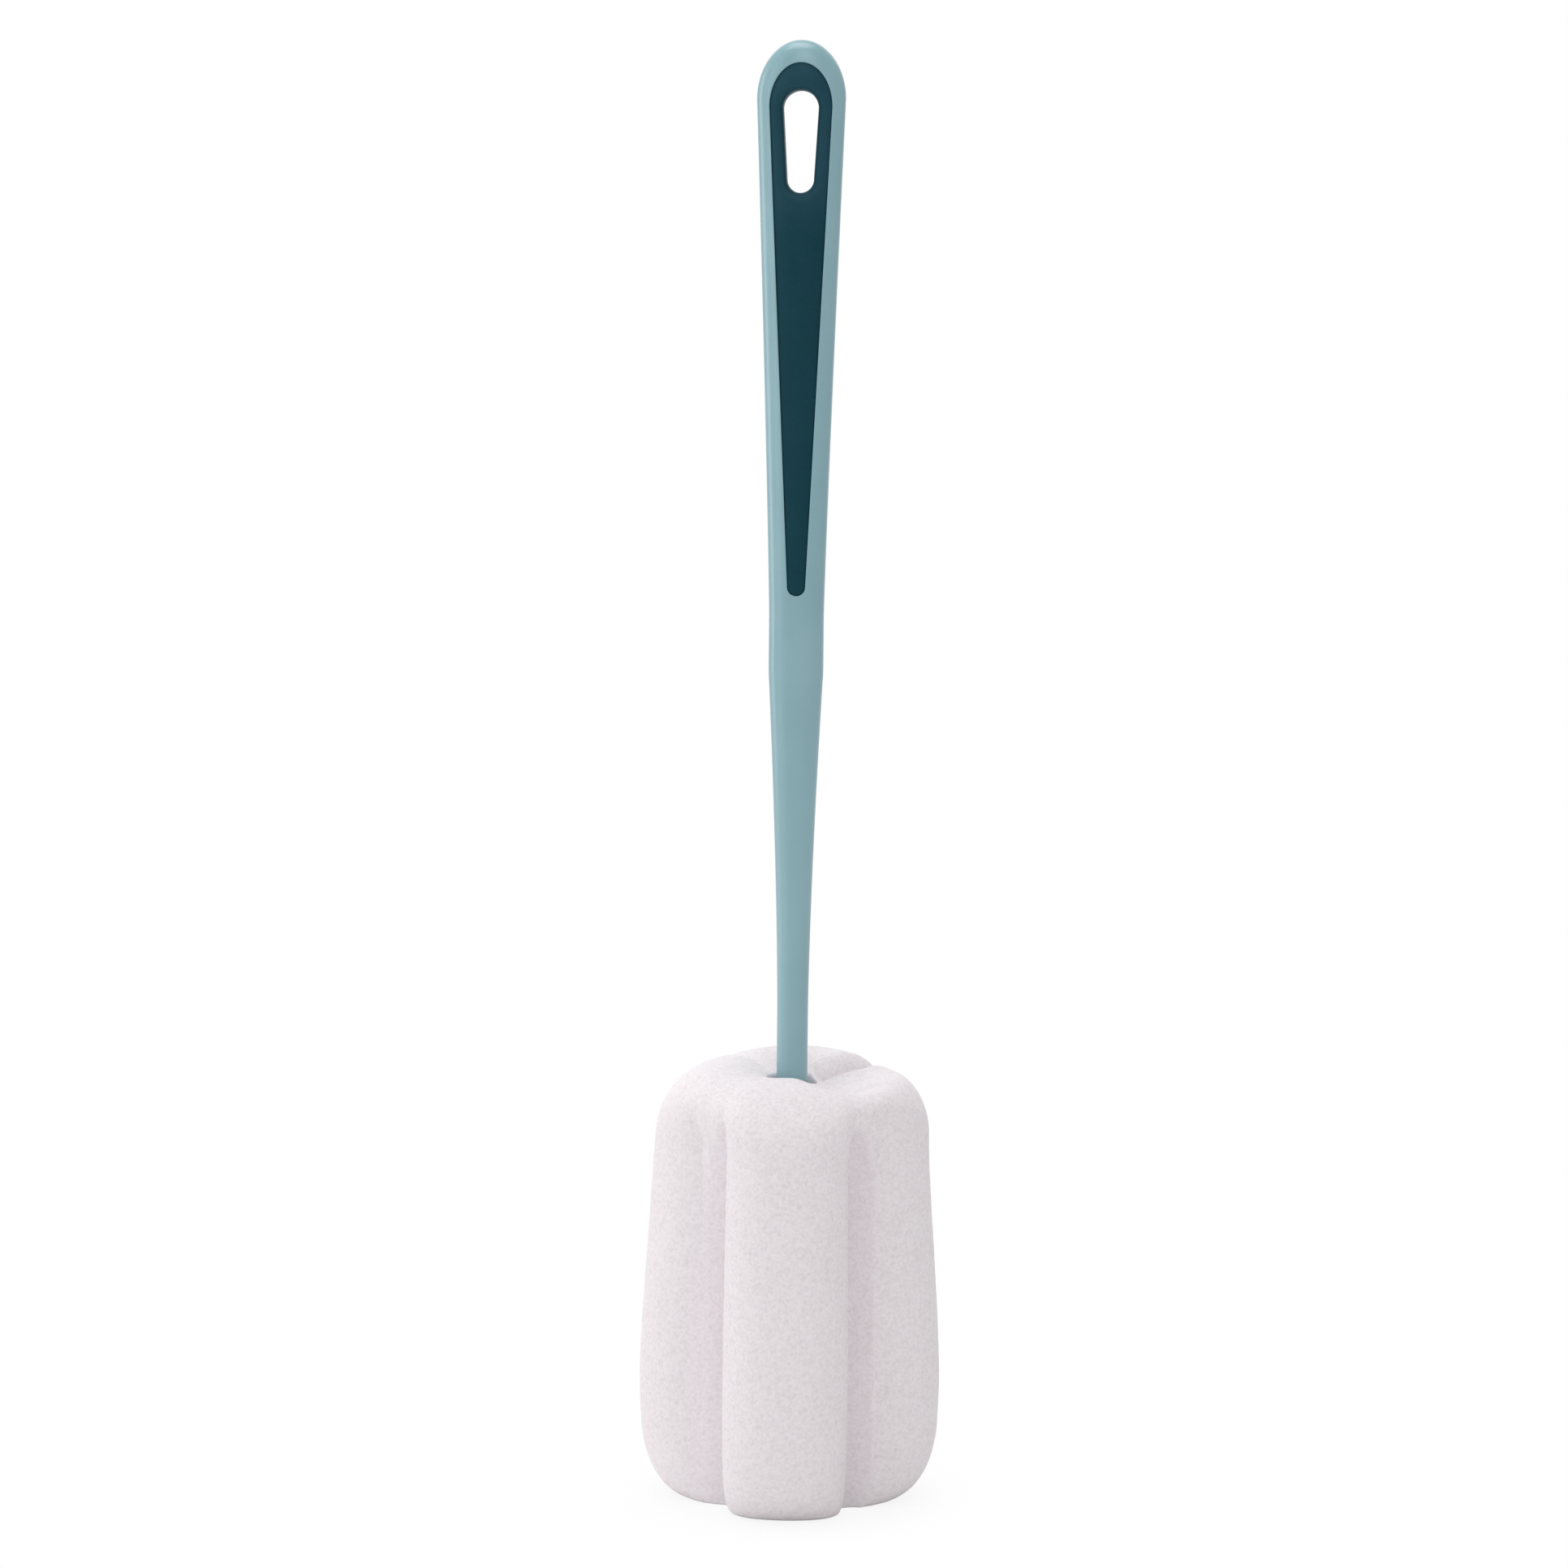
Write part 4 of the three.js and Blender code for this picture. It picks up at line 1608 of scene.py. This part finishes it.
    def _groove(self, garden: Garden, spot: Spot) -> Formula:
        """How deep a groove is cut under its arch, over which the side lobe leans.

        The grooves beside the left lobe are softer and their arches start lower down.

        Args:
            garden: The tree.
            spot: The point on the blank.

        Returns:
            From 0 on the lobes to 1 in the groove's floor.
        """
        on_left = (spot.x * -1.0 - spot.y.unsigned()).eased(*self.left_span)
        softness = on_left * (self.left_softness - self.lip_softness) + self.lip_softness
        foot = spot.left * (self.left_arch_foot - self.arch_foot) + garden.size("Arch foot", self.arch_foot)
        rise = spot.left * (self.left_arch_rise - self.arch_rise) + garden.size("Arch rise", self.arch_rise)
        above = (spot.z - foot).above_zero() / rise
        aside = spot.x.unsigned().math("ARCTAN2", spot.y.unsigned())
        across = (aside - self.blank.sector) / (self.blank.sector - self.blank.lip_angle)
        across = across + self._leg(1.0, above).less_from(1.0 + self.lip_lean)
        inside = (across * across + above * above).less_from(1.0)
        inside = (inside + (inside * inside + softness * softness).root()) * 0.5
        return inside.math("MINIMUM", 1.0) ** garden.size("Groove fullness", self.groove_fullness)

    def _sunk(self, garden: Garden, spot: Spot, drawn: Formula) -> Formula:
        """How far the top sinks in the creases that run on from the grooves, and between the lobes.

        Args:
            garden: The tree.
            spot: The point on the blank.
            drawn: Its reach once the blank is drawn in.

        Returns:
            The depth.
        """
        beside = drawn * spot.offset.less_from(self.blank.sector).math("SINE")
        beside = beside / garden.size("Crease width", self.crease_width)
        steep = beside.less_from(1.0).clamped()
        crease = (steep * steep).less_from(1.0).root().less_from(1.0)
        crease = crease * garden.size("Crease depth", self.crease_depth)
        behind = spot.forwards.eased(self.crease_turn, -self.crease_turn)
        marked = spot.x.eased(0.0, self.crease_right_run) * self.crease_right + self.crease_back
        crease = crease * (behind * marked + self.crease_front)
        saddle = (spot.angle * self.blank.lobes).math("COSINE").less_from(1.0) * (0.5 * self.saddle_depth)
        ahead = spot.forwards.eased(-self.saddle_turn, self.saddle_turn) * spot.left.less_from(1.0)
        saddle = saddle * (ahead * (1.0 - self.saddle_least) + self.saddle_least)
        foot = garden.size("Shoulder height", self.blank.shoulder) + self.crease_rise
        outwards = drawn.eased(spot.mouth, spot.mouth + self.mouth_run)
        return (crease + saddle) * (spot.z.eased(foot, self.blank.height) * outwards)

    def _slump(self, garden: Garden, spot: Spot) -> Formula:
        """How far the front and right lobes sit below the blank's top, and the back one above it.

        Args:
            garden: The tree.
            spot: The point on the blank.

        Returns:
            The drop.
        """
        right = self._towards(spot.x / spot.reach) * (spot.x - spot.y).eased(*self.right_border)
        right = right * spot.reach.eased(*self.right_rise) * spot.reach.eased(*self.right_drop)
        slump = self._towards(spot.forwards) * garden.size("Front slump", self.front_slump)
        slump = (slump - spot.back * garden.size("Back lift", self.back_lift)) * spot.outer
        return (slump + right * garden.size("Right slump", self.right_slump)) * spot.upper

    @staticmethod
    def _towards(share: Formula) -> Formula:
        """How much a place lies to one side, from 0 across it or behind it to 1 right ahead."""
        ahead = share.above_zero()
        return ahead * ahead

    @staticmethod
    def _leg(slant: Formula | float, leg: Formula) -> Formula:
        """The other leg of a right triangle."""
        return (leg * leg).less_from(slant * slant).above_zero().root()

    def dress(self) -> list[bpy.types.Object]:
        """Builds the foam in place of its solid.

        Returns:
            The piece.
        """
        finish = OpenFoam()
        made = self.blank.build()
        self.tree(finish.make(), finish.pore_attribute).grow(made)
        made.data.shade_smooth()
        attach(made, Body.HEAD.value)
        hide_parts("sponge_head")
        return [made]


@dataclass(frozen=True)
class SoftBox:
    """A soft lamp: where it stands, its width and height, and its power."""

    name: str
    place: tuple[float, float, float]
    sides: Point
    watts: float

    def build(self, aim: Vector) -> None:
        """Hangs the lamp.

        Args:
            aim: What it looks at.
        """
        data = bpy.data.lights.new(self.name, "AREA")
        data.shape = "RECTANGLE"
        data.size, data.size_y = self.sides
        data.energy = self.watts
        made = bpy.data.objects.new(self.name, data)
        made.location = self.place
        made.rotation_mode = "QUATERNION"
        made.rotation_quaternion = (aim - made.location).to_track_quat("-Z", "Y")
        bpy.context.scene.collection.objects.link(made)


@dataclass
class Studio:
    """A white floor, soft lamps in front, on the left, above and behind, and the photograph's camera."""

    azimuth: float = 2.2
    distance: float = 898.0 * MM
    eye_height: float = 250.0 * MM
    aim: Vector = field(default_factory=lambda: Vector((-2.15 * MM, 0.0, 144.0 * MM)))
    roll: float = 0.55
    lens: float = 104.57
    sky: float = 0.50
    floor_half: float = 3.0
    floor_white: Colour = (0.9, 0.9, 0.9)
    shadow_from: float = 42.0 * MM
    shadow_to: float = 20.0 * MM
    shadow_glow: float = 0.86
    lamp_aim: Vector = field(default_factory=lambda: Vector((0.0, 0.0, 120.0 * MM)))
    lamps: tuple[SoftBox, ...] = (
        SoftBox("front", (0.10, -1.10, 0.95), (0.8, 0.8), 2.4),
        SoftBox("strip", (-1.10, 0.20, 0.18), (0.25, 1.1), 3.4),
        SoftBox("side", (-0.90, -0.60, 0.25), (0.3, 1.2), 1.4),
        SoftBox("top", (-0.10, 0.05, 1.25), (0.8, 0.8), 5.0),
        SoftBox("backdrop", (0.0, 1.3, 0.5), (2.0, 1.4), 6.5),
    )

    def camera(self) -> None:
        """The photograph's viewpoint."""
        data = bpy.data.cameras.new("camera")
        data.lens = self.lens
        made = bpy.data.objects.new("camera", data)
        turn = math.radians(self.azimuth)
        made.location = (self.distance * math.sin(turn), -self.distance * math.cos(turn), self.eye_height)
        look = (self.aim - made.location).to_track_quat("-Z", "Y")
        made.rotation_mode = "QUATERNION"
        made.rotation_quaternion = look @ Quaternion((0.0, 0.0, 1.0), math.radians(self.roll))
        bpy.context.scene.collection.objects.link(made)
        bpy.context.scene.camera = made

    def world(self) -> None:
        """Even soft light from all round, white behind the brush."""
        world = bpy.data.worlds.new("studio")
        world.use_nodes = True
        recipe = Recipe(world.node_tree)
        light = world.node_tree.nodes["Background"]
        light.inputs["Color"].default_value = (1.0, 1.0, 1.0, 1.0)
        seen = recipe.node("ShaderNodeLightPath")
        camera = recipe.formula(seen.outputs["Is Camera Ray"])
        share = camera.math("MAXIMUM", recipe.formula(seen.outputs["Is Transmission Ray"]))
        strength = share * (1.0 - self.sky) + self.sky
        recipe.link(strength.socket, light.inputs["Strength"])
        bpy.context.scene.world = world

    def floor(self) -> None:
        """A white floor that keeps the brush's shadow near its foot."""
        half = self.floor_half
        corners = [(-half, -half, 0.0), (half, -half, 0.0), (half, half, 0.0), (-half, half, 0.0)]
        mesh = bpy.data.meshes.new("floor")
        mesh.from_pydata(corners, [], [(0, 1, 2, 3)])
        made = bpy.data.objects.new("floor", mesh)
        bpy.context.scene.collection.objects.link(made)
        surface = Surface("white_floor")
        surface.fix("Base Color", (*self.floor_white, 1.0))
        surface.fix("Roughness", 1.0)
        surface.fix("Specular IOR Level", 0.0)
        away = surface.node("ShaderNodeVectorMath", operation="LENGTH")
        surface.link(surface.place, away.inputs[0])
        far = surface.formula(away.outputs["Value"]).eased(self.shadow_to, self.shadow_from)
        seen = surface.node("ShaderNodeLightPath")
        share = far * (1.0 - self.shadow_glow) + self.shadow_glow
        share = share * surface.formula(seen.outputs["Is Camera Ray"])
        glow = surface.node("ShaderNodeEmission")
        mix = surface.node("ShaderNodeMixShader")
        surface.link(share.socket, mix.inputs[0])
        surface.link(surface.shader.outputs[0], mix.inputs[1])
        surface.link(glow.outputs[0], mix.inputs[2])
        surface.link(mix.outputs[0], surface.tree.nodes["Material Output"].inputs["Surface"])
        mesh.materials.append(surface.material)

    def build(self) -> None:
        """Sets everything up round the brush."""
        bpy.context.scene.view_settings.view_transform = "Standard"
        self.camera()
        self.world()
        self.floor()
        for lamp in self.lamps:
            lamp.build(self.lamp_aim)


def main() -> None:
    """Builds the brush and its studio."""
    logging.basicConfig(level=logging.INFO, format="%(name)s: %(message)s")
    Studio().build()
    for part in (Handle(), FoamHead()):
        for made in part.dress():
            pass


if __name__ == "__main__":
    main()
